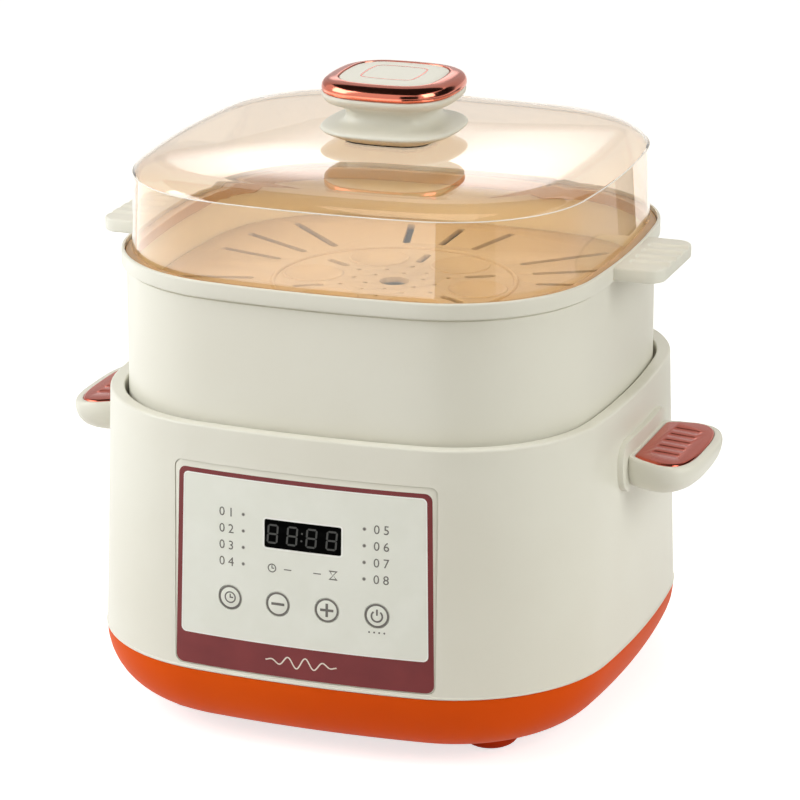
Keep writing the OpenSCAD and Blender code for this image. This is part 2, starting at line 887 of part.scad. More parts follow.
module stew_pot() {
    fillet = 16;
    in = fillet - pot_t;
    base = z_pot + 2.5;
    color("FloralWhite") {
        swept(pot_plan)
            polygon(concat(
                arc([-fillet, base + fillet], fillet, -90, 0, 6),
                arc([-pot_t / 2, z_pot_top - pot_t / 2], pot_t / 2, 0, 180, 6),
                arc([-pot_t - in, base + 6 + in], in, 0, -90, 5),
                [[-fillet - 8, base + 6], [-fillet - 8, base]]));
        plate(pot_plan, -fillet - 4, base, base + 6);
        swept(pot_plan)
            translate([-fillet - 6, z_pot])
                square([6, 4]);
        for (s = [0, 180])
            rotate(s)
                difference() {
                    translate([pot_w / 2 - 1, 0, z_pot_top - 9])
                        linear_extrude(7)
                            rounded(20, 44, 8);
                    plate(pot_plan, -pot_t / 2, z_pot_top - 20, z_pot_top + 20);
                }
    }
}

module pot_lid() {
    z = z_pot_top;
    color("FloralWhite") {
        swept(pot_plan)
            polygon([[-1, z], [-0.2, z + 1.2], [-0.2, z + 2.6], [-1.6, z + 4], [-31, z + 9.5], [-37, z + 9.5],
                     [-37, z + 5], [-31, z + 5], [-9, z + 1], [-9, z - 5], [-pot_t - 0.8, z - 5], [-pot_t - 0.6, z]]);
        plate(pot_plan, -34, z + 5, z + 9.5);
        translate([0, 0, z + 9])
            rotate_extrude()
                polygon([[0, 0], [13, 0], [10, 3], [9, 7], [11, 10], [15, 13], [15.5, 15], [13, 17.5], [0, 18.5]]);
    }
}

module steamer_tier() {
    color("Cornsilk")
    difference() {
        union() {
            swept(tier_plan)
                polygon(concat(
                    [[0, z_tier], [0, z_band], [band_out, z_band]],
                    arc([band_out - 1, z_top - 1], 1, 0, 90, 3),
                    [[0.9, z_top], [0.9, z_seat], [-tier_t, z_seat], [-tier_t, z_shelf],
                     [-tier_t - 5, z_shelf], [-tier_t - 5, z_shelf - 2], [-tier_t, z_shelf - 6],
                     [-tier_t, z_tier]]));
            for (s = [0, 180])
                rotate(s)
                    difference() {
                        translate([tier_w / 2 + band_out + ear_out / 2 - 10, 0, z_band + 0.5])
                            linear_extrude(band_h - 0.8)
                                rounded(ear_out + 20, ear_w, 9);
                        plate(tier_plan, 1.4, z_band - 5, z_top + 5);
                    }
        }
        for (s = [0, 180], y = [-16.5, -5.5, 5.5, 16.5])
            rotate(s)
                rod_x(y, z_top + 4, 5, tier_w / 2 + band_out + 3, tier_w / 2 + ear_out + 20);
    }
}

module steaming_tray() {
    ball = (cup_r * cup_r + cup_depth * cup_depth) / (2 * cup_depth);
    z_ball = z_tray - cup_depth + ball;
    color("Cornsilk")
    difference() {
        union() {
            translate([0, 0, z_shelf])
                linear_extrude(tray_t)
                    difference() {
                        polygon(outline(tier_plan, -tier_t - 0.6));
                        circle(7.8);
                        for (i = [0 : 5]) {
                            rotate(60 * i + 30)
                                slot(37, 53.5, slot_w);
                            for (d = [15, 30, 45])
                                rotate(60 * i + d)
                                    slot(73, reach(tier_plan, 60 * i + d) - 17, slot_w);
                            for (q = [[15.2, 30], [22, 0], [28.4, 30]])
                                rotate(60 * i + q[1])
                                    translate([q[0], 0])
                                        circle(1.4);
                        }
                    }
            translate([0, 0, z_tray])
                rotate_extrude()
                    translate([63, 0])
                        circle(1.3);
            for (i = [0 : 5])
                rotate(60 * i)
                    translate([cup_ring, 0, z_ball])
                        intersection() {
                            sphere(ball + 2);
                            translate([0, 0, -ball - 3])
                                cylinder(r = cup_r + 1.6, h = cup_depth + 1);
                        }
        }
        for (i = [0 : 5])
            rotate(60 * i)
                translate([cup_ring, 0, z_ball])
                    sphere(ball);
        for (i = [0 : 5])
            rotate(60 * i)
                translate([cup_ring, 0, z_shelf - 10])
                    cylinder(r = 2.2, h = 20);
    }
}

module lid_dome() {
    domes = [0.96, 0.88, 0.78, 0.66, 0.54, 0.42, 0.3];
    flat = 0.3;
    out_edge = arc([lid_head - lid_edge, z_line], lid_edge, 0, 80, 4);
    in_edge = arc([lid_head - lid_edge, z_line], lid_edge - lid_t, 80, 0, 4);
    top = outline(tier_plan, out_edge[4][0]);
    z_edge = out_edge[4][1];
    sag = z_crown - z_edge;
    color("BurlyWood", 0.5)
    difference() {
        ring_loft(concat(
            [for (q = [[lid_flange, z_seat], [lid_flange, z_seat + 2.5], [lid_foot, z_seat + 2.8]])
                level(outline(tier_plan, q[0]), q[1])],
            [for (q = out_edge) level(outline(tier_plan, q[0]), q[1])],
            [for (s = domes) level(sized(top, s), z_crown - sag * pow((s - flat) / (1 - flat), 2))],
            [level(sized(top, 0.02), z_crown), level(sized(top, 0.02), z_crown - lid_t)],
            [for (i = [6 : -1 : 0])
                level(sized(top, domes[i]), z_crown - lid_t - sag * pow((domes[i] - flat) / (1 - flat), 2))],
            [for (q = in_edge) level(outline(tier_plan, q[0]), q[1])],
            [for (q = [[-tier_t - 2.6, z_seat - 3.4], [-tier_t - 0.4, z_seat - 3.4], [-tier_t - 0.4, z_seat]])
                level(outline(tier_plan, q[0]), q[1])]));
        translate([0, 0, z_crown - 10])
            cylinder(r = 3, h = 20);
        translate([2, tier_w / 2 - 17, z_crown - 20])
            cylinder(r = vent_r, h = 30);
    }
}

module knob_spool() {
    z = z_knob;
    h = knob_h;
    color("Cornsilk")
    difference() {
        union() {
            swept(knob_plan)
                polygon([[-18, z], [-11.4, z], [-2.6, z + 3.7], [-0.5, z + 4.7], [0, z + 5.7], [-0.5, z + 6.6],
                         [-1.7, z + 7.2], [-9, z + 8.4], [-12, z + 10], [-13.2, z + 12.4], [-12.6, z + h - 9.6],
                         [-9.5, z + h - 7.2], [-3.4, z + h - 5], [-1.6, z + h - 3.4], [-1, z + h - 1.6],
                         [-1.4, z + h], [-18, z + h]]);
            plate(knob_plan, -16, z, z + h);
        }
        translate([0, 0, z - 1])
            cylinder(r = 2.5, h = 18);
    }
}

module knob_ring() {
    z = z_ring;
    h = knob_ring_h;
    color("Sienna")
    swept(knob_plan)
        polygon([[-1.4, z], [-0.8, z + 0.6], [-0.7, z + 2], [-1.2, z + 3.4], [-2.4, z + h - 2.5],
                 [-4.4, z + h - 1.2], [-6.8, z + h - 0.4], [-9, z + h], [-9.4, z + h - 0.8], [-9.4, z]]);
}

module knob_cap() {
    z = z_ring;
    color("Ivory") {
        swept(knob_plan)
            polygon([[-9.6, z], [-9.6, z + knob_ring_h - 1], [-10.4, z + knob_ring_h - 0.3],
                     [-16, z + knob_ring_h + 0.2], [-18, z + knob_ring_h + 0.2], [-18, z]]);
        plate(knob_plan, -16, z, z + knob_ring_h + 0.2);
    }
}

module knob_screw() {
    z = z_crown - lid_t;
    color("Silver")
    difference() {
        union() {
            translate([0, 0, z - 3])
                cylinder(r = 6, h = 3);
            translate([0, 0, z - 1])
                cylinder(r = 2.4, h = 17);
        }
        translate([-0.6, -4, z - 4])
            cube([1.2, 8, 2]);
        translate([-4, -0.6, z - 4])
            cube([8, 1.2, 2]);
    }
}

module knob_seal() {
    color("DimGray")
    difference() {
        plate(knob_plan, -12.4, z_crown, z_knob);
        translate([0, 0, z_crown - 1])
            cylinder(r = 3, h = 4);
    }
}

base_housing();
base_skirt();
rubber_feet();
skirt_screws();
heating_pan();
pan_gasket();
heater_plate();
heating_element();
temperature_sensor();
sensor_bracket();
thermal_fuse();
power_board();
power_inlet();
inlet_pins();
panel_plate();
panel_film();
display_window();
display_module();
indicator_guides();
control_board();
key_switches();
key_timer();
key_minus();
key_plus();
key_function();
handle_left();
handle_right();
handle_trim_left();
handle_trim_right();
handle_screws();
stew_pot();
pot_lid();
steamer_tier();
steaming_tray();
lid_dome();
knob_spool();
knob_ring();
knob_cap();
knob_screw();
knob_seal();
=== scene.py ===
# Electric stewing pot with a lift-off steamer tier, dressed for the studio.
# Sizes are written in millimetres and turned to metres where a piece is drawn.
import math

import bmesh
import bpy
from mathutils import Matrix, Vector


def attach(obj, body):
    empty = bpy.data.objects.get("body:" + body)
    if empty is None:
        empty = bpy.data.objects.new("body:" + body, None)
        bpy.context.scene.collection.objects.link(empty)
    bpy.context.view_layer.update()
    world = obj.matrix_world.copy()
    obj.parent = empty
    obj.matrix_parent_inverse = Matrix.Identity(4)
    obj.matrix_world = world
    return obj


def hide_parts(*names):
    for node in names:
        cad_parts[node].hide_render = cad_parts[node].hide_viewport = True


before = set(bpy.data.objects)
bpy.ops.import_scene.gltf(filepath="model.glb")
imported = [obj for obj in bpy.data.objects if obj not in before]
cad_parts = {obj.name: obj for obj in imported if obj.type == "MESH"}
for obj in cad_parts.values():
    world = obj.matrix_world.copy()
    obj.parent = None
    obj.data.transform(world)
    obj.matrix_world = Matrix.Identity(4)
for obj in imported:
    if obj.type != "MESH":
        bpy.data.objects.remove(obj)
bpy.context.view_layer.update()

MM = 0.001
MERGE = 1e-6
FINE_MERGE = 1e-7
GRAIN = 0.00002

# Heights of the pot, from the table up
Z_FLOOR = 9.0
Z_SEAM = 41.0
Z_RIM = 169.8
Z_LEDGE = 153.2
Z_FLANGE = 154.2
Z_TIER = 155.4
Z_PAN = 33.0
Z_POT = 34.5
Z_POT_TOP = 176.5
Z_TOP = 242.0
Z_BAND = 234.0
Z_SEAT = 237.7
Z_TRAY = 214.0
Z_SHELF = 211.0
Z_FOLD = 281.0
Z_CROWN = 291.0
Z_KNOB = 291.8
Z_RING = 316.5

# The base, its panel and its handles
HALF = 138.0
DRAFT = math.tan(math.radians(1.9))
RIM_W = 7.3
SKIRT_IN = 21.2
FOOT_AT = 81.0
PANEL_Z = 97.25
FILM_LOW = 44.35
FILM_HIGH = 147.55
FILM_HALF = 68.9
FILM_TAPER = 2.0
STRIP_Z = 60.7
MIDDLE_X = 0.6
WINDOW_Z = 118.8
WINDOW_W = 40.4
WINDOW_H = 14.5
KEY_Z = 82.5
KEY_X = [MIDDLE_X + 26.0 * step for step in (-1.5, -0.5, 0.5, 1.5)]
KEY_GAP = 6.55
SWITCH_Y = -129.55
HANDLE_Z = 144.5
HANDLE_SLOPE = 4.0
HANDLE_HALF = 38.5

# The tray
CUP_AT = 45.0
CUP_R = 14.5
CUP_DEEP = 5.0
SLOT_W = 4.2


def lean(z):
    """How far the housing wall has moved inward at a height."""
    return -(z - Z_SEAM) * DRAFT


class Plan:
    """A square outline with bowed sides and round corners.

    side is the radius of a bowed side, back how far its centre lies beyond the middle, at the
    centre of a corner, and turn half the angle that a side takes up.
    """

    def __init__(self, half, corner, bow):
        self.corner = corner
        self.side = ((half - corner) ** 2 + bow ** 2) / (2 * bow)
        self.back = self.side - half
        self.at = (math.sqrt(2 * (self.side - corner) ** 2 - self.back ** 2) - self.back) / 2
        self.turn = math.atan2(self.at, self.at + self.back)

    def place(self, off, z):
        """The point of the outline, moved out by off, where the sweep starts."""
        r = self.side + off
        return Vector((r * math.cos(self.turn) - self.back, -r * math.sin(self.turn), z)) * MM

    def front(self, x, off=0.0):
        """Depth of the front side at x, with the outline moved out by off."""
        if abs(x) < (self.side + off) * math.sin(self.turn):
            return self.back - math.sqrt((self.side + off) ** 2 - x * x)
        return -self.at - math.sqrt(max((self.corner + off) ** 2 - (abs(x) - self.at) ** 2, 0.0))

    def outline(self, off, ns=8, nc=18):
        """The outline's points, moved out by off."""
        points = []
        for q in range(4):
            c, s = math.cos(q * math.pi / 2), math.sin(q * math.pi / 2)
            for i in range(ns + nc):
                if i < ns:
                    a = -self.turn + 2 * self.turn * i / ns
                    x, y = (self.side + off) * math.cos(a) - self.back, (self.side + off) * math.sin(a)
                else:
                    a = self.turn + (math.pi / 2 - 2 * self.turn) * (i - ns) / nc
                    r = self.corner + off
                    x, y = self.at + r * math.cos(a), self.at + r * math.sin(a)
                points.append((x * c - y * s, x * s + y * c))
        return points

    def reach(self, degrees):
        """Distance from the middle to the outline along a direction."""
        c, s = math.cos(math.radians(degrees)), math.sin(math.radians(degrees))
        near = 2.5
        return max(x * c + y * s for x, y in self.outline(0.0, 16, 40) if abs(x * s - y * c) < near)


BASE = Plan(HALF, 84.0, 2.5)
TIER = Plan(125.4, 76.0, 2.3)
POT = Plan(98.0, 52.0, 2.0)
KNOB = Plan(35.7, 25.0, 0.6)


def arc(x, z, r, a0, a1, n):
    """Points of an arc in a profile, angles in degrees."""
    turns = [math.radians(a0 + (a1 - a0) * i / n) for i in range(n + 1)]
    return [(x + r * math.cos(a), z + r * math.sin(a)) for a in turns]


def flowing(points, n=5):
    """A smooth line through the points of a profile."""
    ends = [points[0]] + list(points) + [points[-1]]
    line = []
    for i in range(1, len(ends) - 2):
        p0, p1, p2, p3 = ends[i - 1:i + 3]
        for j in range(n):
            t = j / n
            line.append(tuple(
                0.5 * (2 * b + (c - a) * t + (2 * a - 5 * b + 4 * c - d) * t * t
                       + (3 * b - a - 3 * c + d) * t ** 3)
                for a, b, c, d in zip(p0, p1, p2, p3)))
    return line + [tuple(points[-1])]


# Modelling steps

def begin(name, place):
    """Starts a piece with one point, in edit mode and ready to be extruded."""
    bpy.ops.object.select_all(action="DESELECT")
    bpy.ops.mesh.primitive_plane_add(size=MM, location=(0, 0, 0))
    bpy.context.object.name = name
    bpy.ops.object.mode_set(mode="EDIT")
    bpy.ops.mesh.select_mode(type="VERT")
    bpy.ops.mesh.select_all(action="SELECT")
    bpy.ops.mesh.merge(type="CENTER")
    bpy.ops.transform.translate(value=place)


def draw(points, closed=False):
    """Extrudes the chosen point along a line of places."""
    line = list(points) + list(points[:1]) if closed else list(points)
    for here, there in zip(line, line[1:]):
        bpy.ops.mesh.extrude_region_move(TRANSFORM_OT_translate={"value": there - here})
    bpy.ops.mesh.select_all(action="SELECT")
    if closed:
        bpy.ops.mesh.remove_doubles(threshold=FINE_MERGE)


def pick(kind, test):
    """Chooses the points, edges or faces that pass a test, and nothing else."""
    bpy.ops.mesh.select_mode(type=kind)
    bpy.ops.mesh.select_all(action="DESELECT")
    data = bpy.context.object.data
    mesh = bmesh.from_edit_mesh(data)
    items = {"VERT": mesh.verts, "EDGE": mesh.edges, "FACE": mesh.faces}[kind]
    for item in items:
        if test(item):
            item.select = True
    mesh.select_flush_mode()
    bmesh.update_edit_mesh(data)


def open_edge(z):
    """Chooses the open rim at one height."""
    pick("EDGE", lambda e: e.is_boundary and all(abs(v.co.z - z * MM) < MERGE for v in e.verts))


def sweep(name, plan, profile, closed=True, sides=8, corners=18):
    """A profile of offsets and heights, spun along the sides and round the corners of a plan."""
    points = [plan.place(off, z) for off, z in profile]
    begin(name, points[0])
    draw(points, closed)
    for q in range(4):
        c, s = math.cos(q * math.pi / 2), math.sin(q * math.pi / 2)
        middle = (-plan.back * c * MM, -plan.back * s * MM, 0)
        bend = ((plan.at * c - plan.at * s) * MM, (plan.at * s + plan.at * c) * MM, 0)
        bpy.ops.mesh.spin(steps=sides, angle=2 * plan.turn, center=middle, axis=(0, 0, -1))
        bpy.ops.mesh.spin(steps=corners, angle=math.pi / 2 - 2 * plan.turn, center=bend, axis=(0, 0, -1))
    bpy.ops.mesh.select_all(action="SELECT")
    bpy.ops.mesh.remove_doubles(threshold=MERGE)


def turned(name, profile, place, steps=48):
    """A profile of radii and heights, spun once round an upright axis."""
    x, y = place
    points = [Vector((x + r, y, z)) * MM for r, z in profile]
    begin(name, points[0])
    draw(points)
    bpy.ops.mesh.spin(steps=steps, angle=2 * math.pi, center=(x * MM, y * MM, 0), axis=(0, 0, 1))
    bpy.ops.mesh.select_all(action="SELECT")
    bpy.ops.mesh.remove_doubles(threshold=MERGE)
    return closed_up()


def slab(name, points, way, depth, where=0.0):
    """A flat shape drawn on the x, y or z plane at a place, and extruded by a depth along that axis."""
    spots = {"x": lambda u, v: Vector((where, u, v)), "y": lambda u, v: Vector((u, where, v)),
             "z": lambda u, v: Vector((u, v, where))}
    places = [spots[way](u, v) * MM for u, v in points]
    begin(name, places[0])
    draw(places, closed=True)
    bpy.ops.mesh.edge_face_add()
    if depth:
        push = Vector([depth * MM if axis == way else 0.0 for axis in "xyz"])
        bpy.ops.mesh.extrude_region_move(TRANSFORM_OT_translate={"value": push})
        bpy.ops.mesh.select_all(action="SELECT")
        bpy.ops.mesh.normals_make_consistent(inside=False)


def rounded(w, h, r, x=0.0, z=0.0, n=8):
    """Points of a rectangle with round corners."""
    points = []
    for cx, cz, a in ((1, 1, 0), (-1, 1, 90), (-1, -1, 180), (1, -1, 270)):
        points += arc(x + cx * (w / 2 - r), z + cz * (h / 2 - r), r, a, a + 90, n)
    return points


def circle(r, x=0.0, z=0.0, n=40):
    """Points of a circle."""
    return arc(x, z, r, 0, 360 - 360 / n, n - 1)


def pill(x0, x1, w, degrees, n=8):
    """Points of a slot with round ends, along a direction from the middle."""
    line = arc(x1 - w / 2, 0, w / 2, -90, 90, n) + arc(x0 + w / 2, 0, w / 2, 90, 270, n)
    c, s = math.cos(math.radians(degrees)), math.sin(math.radians(degrees))
    return [(x * c - y * s, x * s + y * c) for x, y in line]


def closed_up():
    """Closes the seams, turns the faces outward and leaves edit mode."""
    bpy.ops.mesh.select_mode(type="VERT")
    bpy.ops.mesh.select_all(action="SELECT")
    bpy.ops.mesh.remove_doubles(threshold=FINE_MERGE)
    bpy.ops.mesh.normals_make_consistent(inside=False)
    bpy.ops.object.mode_set(mode="OBJECT")
    return bpy.context.object


def shell(name, plan, profile, caps=(), sides=8, corners=18):
    """A swept profile as a solid. An open profile is closed by flat faces at its cap heights."""
    sweep(name, plan, profile, not caps, sides, corners)
    for z in caps:
        open_edge(z)
        bpy.ops.mesh.edge_face_add()
    return closed_up()


def solid(name, points, way, depth, where=0.0):
    """A flat shape extruded to a solid."""
    slab(name, points, way, depth, where)
    return closed_up()


def flat(name, points, way="y", where=0.0):
    """A flat shape with no depth, for a print or a sheet."""
    slab(name, points, way, 0.0, where)
    bpy.ops.object.mode_set(mode="OBJECT")
    return bpy.context.object


def alone(piece):
    """Makes one piece the chosen one."""
    bpy.ops.object.select_all(action="DESELECT")
    piece.select_set(True)
    bpy.context.view_layer.objects.active = piece


def worked(piece, kind, **settings):
    """Adds a modifier and applies it."""
    alone(piece)
    step = piece.modifiers.new("step", kind)
    for name, value in settings.items():
        setattr(step, name, value)
    bpy.ops.object.modifier_apply(modifier=step.name)
    return piece


def cut(piece, tool, operation="DIFFERENCE"):
    """Takes a tool out of a piece, or keeps only what they share, and drops the tool."""
    worked(piece, "BOOLEAN", operation=operation, object=tool, solver="EXACT")
    bpy.data.objects.remove(tool)
    return piece


def joined(name, pieces):
    """Several meshes as one piece."""
    alone(pieces[0])
    for piece in pieces[1:]:
        piece.select_set(True)
    bpy.ops.object.join()
    bpy.context.object.name = name
    return bpy.context.object


def softened(piece, width, segments=2, angle=40):
    """Rounds the sharp edges of a piece."""
    return worked(piece, "BEVEL", width=width * MM, segments=segments, limit_method="ANGLE",
                  angle_limit=math.radians(angle), harden_normals=False)


def copied(piece, name):
    """A copy of a piece with its own mesh."""
    alone(piece)
    bpy.ops.object.duplicate(linked=False)
    bpy.context.object.name = name
    return bpy.context.object


def mirrored(piece, name):
    """A copy of a piece on the other side, left for right."""
    other = copied(piece, name)
    bpy.ops.object.mode_set(mode="EDIT")
    bpy.ops.mesh.select_all(action="SELECT")
    bpy.ops.transform.resize(value=(-1, 1, 1), center_override=(0, 0, 0))
    bpy.ops.mesh.normals_make_consistent(inside=False)
    bpy.ops.object.mode_set(mode="OBJECT")
    return other


def fitted(piece, body, slot, finish, *nodes, angle=32):
    """Smooths a finished piece, paints it and sets it on its body."""
    alone(piece)
    bpy.ops.object.shade_smooth_by_angle(angle=math.radians(angle))
    piece.data.materials.clear()
    piece.data.materials.append(finish)
    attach(piece, body)
    if nodes:
        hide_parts(*nodes)
    return piece


# Finishes

def srgb(r, g, b):
    """A colour written as on a screen, 0 to 255."""
    def line(c):
        c /= 255.0
        return c / 12.92 if c <= 0.04045 else ((c + 0.055) / 1.055) ** 2.4
    return (line(r), line(g), line(b), 1.0)


def grey(level):
    """A grey as the renderer counts it, 0 to 1."""
    return (level, level, level, 1.0)


class Value:
    """A number inside a node tree. Arithmetic on it adds the nodes that work it out."""

    def __init__(self, nodes, socket):
        self.nodes = nodes
        self.socket = socket

    def step(self, operation, *parts):
        return self.nodes.node("Math", {"operation": operation}, *parts)

    def __add__(self, other):
        return self.step("ADD", self, other)

    def __sub__(self, other):
        return self.step("SUBTRACT", self, other)

    def __rsub__(self, other):
        return self.step("SUBTRACT", other, self)

    def __mul__(self, other):
        return self.step("MULTIPLY", self, other)

    __radd__ = __add__
    __rmul__ = __mul__

    def most(self, other):
        return self.step("MAXIMUM", self, other)

    def wave(self):
        return self.step("SINE", self)

    def ramp(self, low, high):
        """0 below low, 1 above high and smooth between."""
        return self.nodes.node("MapRange", {"interpolation_type": "SMOOTHSTEP"}, self, low, high, 0.0, 1.0)


class Nodes:
    """A node tree, and what feeds its sockets."""

    def __init__(self, tree):
        self.tree = tree

    def node(self, kind, settings=None, *parts, out=0, **named):
        """Any node: its type, its settings and what feeds its sockets."""
        made = self.tree.nodes.new("ShaderNode" + kind)
        for name, value in (settings or {}).items():
            setattr(made, name, value)
        feeds = list(zip(made.inputs, parts)) + [(made.inputs[n], v) for n, v in named.items()]
        for socket, value in feeds:
            self.feed(socket, value)
        return Value(self, made.outputs[out])

    def feed(self, socket, value):
        """Links a value to a socket, or sets the socket to a plain number or colour."""
        if isinstance(value, Value):
            self.tree.links.new(value.socket, socket)
        else:
            socket.default_value = value

    def mix(self, amount, one, two):
        """One colour going over to another."""
        made = self.tree.nodes.new("ShaderNodeMix")
        made.data_type = "RGBA"
        self.feed(made.inputs[0], amount)
        self.feed(made.inputs[6], one)
        self.feed(made.inputs[7], two)
        return Value(self, made.outputs[2])

    def seen(self):
        """1 for what the camera sees straight, in gloss or through glass."""
        rays = self.node("LightPath").socket.node.outputs
        straight, gloss, through = [Value(self, rays["Is %s Ray" % kind])
                                    for kind in ("Camera", "Glossy", "Transmission")]
        return straight.most(gloss).most(through)


class Finish(Nodes):
    """The node tree of one material."""

    def __init__(self, name):
        self.material = bpy.data.materials.new(name)
        self.material.use_nodes = True
        super().__init__(self.material.node_tree)
        self.shader = self.tree.nodes["Principled BSDF"]
        self.place = self.node("TexCoord", out="Object")

    def set(self, **sockets):
        """Sets sockets of the shader, named with _ for a space, and gives the finished material."""
        for name, value in sockets.items():
            self.feed(self.shader.inputs[name.replace("_", " ")], value)
        return self.material

    def noise(self, scale, detail=2.0, place=None):
        return self.node("TexNoise", None, Vector=place or self.place, Scale=scale, Detail=detail)

    def stretched(self, scales, detail):
        """Noise with a scale of its own along each axis."""
        return self.noise(1.0, detail, self.node("Mapping", None, Vector=self.place, Scale=scales))

    def cloudy(self, light, dark, scale, detail=3.0):
        """A faint cloud of two screen colours."""
        return self.mix(self.noise(scale, detail).ramp(0.3, 0.7), srgb(*light), srgb(*dark))

    def bump(self, height, strength, distance=GRAIN):
        return self.node("Bump", None, Strength=strength, Distance=distance, Height=height)

    def axis(self, way):
        """One of the Object coordinates."""
        return self.node("SeparateXYZ", None, self.place, out=way)


def moulded(name, light, dark, rough=0.36, depth=GRAIN, shine=0.5):
    """Moulded plastic: a faint cloud of colour and a fine satin grain."""
    f = Finish(name)
    fine = f.noise(1100.0)
    return f.set(Base_Color=f.cloudy(light, dark, 9.0), Roughness=rough - 0.03 + 0.08 * fine,
                 Normal=f.bump(fine, 0.12, depth), Specular_IOR_Level=shine)


def polished_copper(name, light, dark, rough):
    """Rose-gold plating: bright, with faint polishing marks."""
    f = Finish(name)
    marks = f.stretched((160.0, 900.0, 900.0), 3.0)
    return f.set(Base_Color=f.cloudy(light, dark, 25.0, 2.0), Metallic=1.0,
                 Roughness=rough + 0.08 * marks, Normal=f.bump(marks, 0.06))


def brushed_metal(name, light, dark, rough, along):
    """Sheet metal with fine marks along one axis."""
    f = Finish(name)
    marks = f.stretched(tuple(60.0 if axis == along else 1400.0 for axis in "xyz"), 4.0)
    return f.set(Base_Color=f.mix(marks.ramp(0.25, 0.75), light, dark), Metallic=1.0,
                 Roughness=rough + 0.16 * marks, Normal=f.bump(marks, 0.15))


def coated_pan(name, light, dark):
    """Champagne anodised aluminium with a fine even grain."""
    f = Finish(name)
    grain = f.noise(1500.0)
    return f.set(Base_Color=f.cloudy(light, dark, 14.0), Metallic=0.85,
                 Roughness=0.30 + 0.12 * grain, Normal=f.bump(grain, 0.2))


def soft_rubber(name, light, dark):
    """Matt rubber with a pitted skin."""
    f = Finish(name)
    pits = f.node("TexVoronoi", {"feature": "F1"}, Vector=f.place, Scale=900.0)
    return f.set(Base_Color=f.mix(f.noise(40.0, 3.0), srgb(*light), srgb(*dark)),
                 Roughness=0.62 + 0.2 * pits, Normal=f.bump(pits, 0.2, 2 * GRAIN),
                 Specular_IOR_Level=0.15)


def glazed_ceramic(name):
    """White glaze with soft waves and a few fine specks."""
    f = Finish(name)
    waves = f.noise(22.0)
    specks = f.noise(420.0, 1.0).ramp(0.72, 0.78)
    glaze = f.mix(waves, srgb(244, 240, 230), srgb(238, 232, 219))
    return f.set(Base_Color=f.mix(specks, glaze, srgb(214, 204, 186)), Roughness=0.08 + 0.08 * waves,
                 Normal=f.bump(waves, 0.08, 0.0006), Coat_Weight=0.4, Coat_Roughness=0.04)


def circuit_board(name):
    """Green solder mask over tracks, with tinned pads."""
    f = Finish(name)
    face = f.node("Mapping", None, Vector=f.place, Rotation=(math.pi / 2, 0.0, 0.0))
    tones = {"Color1": grey(1.0), "Color2": grey(0.6), "Mortar": grey(0.0), "Mortar Size": 0.06}
    tracks = f.node("TexBrick", {"offset": 0.35, "squash": 1.6}, Vector=face, Scale=120.0, **tones)
    pads = f.node("TexVoronoi", {"feature": "F1"}, Vector=face, Scale=210.0).ramp(0.16, 0.2)
    mask = f.mix(tracks, srgb(10, 62, 38), srgb(22, 92, 54))
    return f.set(Base_Color=f.mix(pads, srgb(196, 190, 170), mask), Metallic=0.7 - 0.7 * pads,
                 Roughness=0.28 + 0.16 * pads, Normal=f.bump(pads, 0.2, 0.0001))


def clear_amber(name):
    """Clear tea-coloured plastic with faint mould flow."""
    f = Finish(name)
    flow = f.noise(7.0)
    return f.set(Base_Color=f.mix(flow.ramp(0.35, 0.65), srgb(253, 243, 231), srgb(252, 241, 227)),
                 Roughness=0.012 + 0.015 * flow, Normal=f.bump(flow, 0.03, 0.002),
                 Transmission_Weight=1.0, IOR=1.04, Coat_Weight=1.0, Coat_IOR=1.7, Coat_Roughness=0.02)


def dark_glass(name):
    """The smoked window over the display."""
    f = Finish(name)
    grain = f.noise(600.0)
    return f.set(Base_Color=f.mix(f.noise(60.0), srgb(3, 3, 3), srgb(5, 5, 4)),
                 Roughness=0.08 + 0.05 * grain, Normal=f.bump(grain, 0.02, GRAIN / 2),
                 Specular_IOR_Level=0.01)


def printed(name, light, dark, rough=0.42, shine=0.5):
    """Screen-printed ink with the mesh of the screen in it."""
    f = Finish(name)
    threads = 9000.0
    screen = ((f.axis("X") * threads).wave() * (f.axis("Z") * threads).wave()).ramp(-1.0, 1.0)
    return f.set(Base_Color=f.cloudy(light, dark, 50.0), Roughness=rough + 0.08 * screen,
                 Normal=f.bump(screen, 0.05, GRAIN / 2), Specular_IOR_Level=shine)


CREAM = moulded("cream_satin_plastic", (233, 231, 220), (229, 226, 214))
# The tray: cream plastic painted tan, a painted glow of light tinted by the amber lid
PAINTED_AMBER_LIGHT_TRAY = moulded("tray_cream_with_painted_amber_light", (206, 178, 133), (200, 170, 124), rough=0.42, depth=0.000008)
# Tier's inner walls: cream plastic painted tan, a painted glow of light tinted by the amber lid
PAINTED_AMBER_LIGHT_WALL = moulded("tier_inner_painted_amber_light", (236, 218, 174), (232, 212, 166), rough=0.42)
ORANGE = moulded("orange_satin_plastic", (232, 88, 4), (225, 80, 3), rough=0.5, shine=0.08)
FOOT_ORANGE = soft_rubber("orange_rubber", (216, 64, 6), (206, 58, 5))
WHITE = moulded("white_plastic", (238, 237, 232), (232, 230, 224), rough=0.4)
DARK = moulded("dark_plastic", (44, 43, 42), (34, 33, 33), rough=0.45)
LIGHT_GUIDE = moulded("light_guide_plastic", (206, 204, 196), (190, 188, 180), rough=0.2)
COPPER = polished_copper("rose_gold_plating", (222, 128, 106), (208, 114, 92), rough=0.10)
SOFT_COPPER = polished_copper("soft_rose_gold_plating", (214, 110, 88), (204, 98, 78), rough=0.17)
STEEL = brushed_metal("brushed_steel", (0.62, 0.62, 0.61, 1), (0.50, 0.50, 0.50, 1), 0.24, "x")
ALUMINIUM = brushed_metal("cast_aluminium", (0.70, 0.70, 0.70, 1), (0.58, 0.58, 0.58, 1), 0.36, "y")
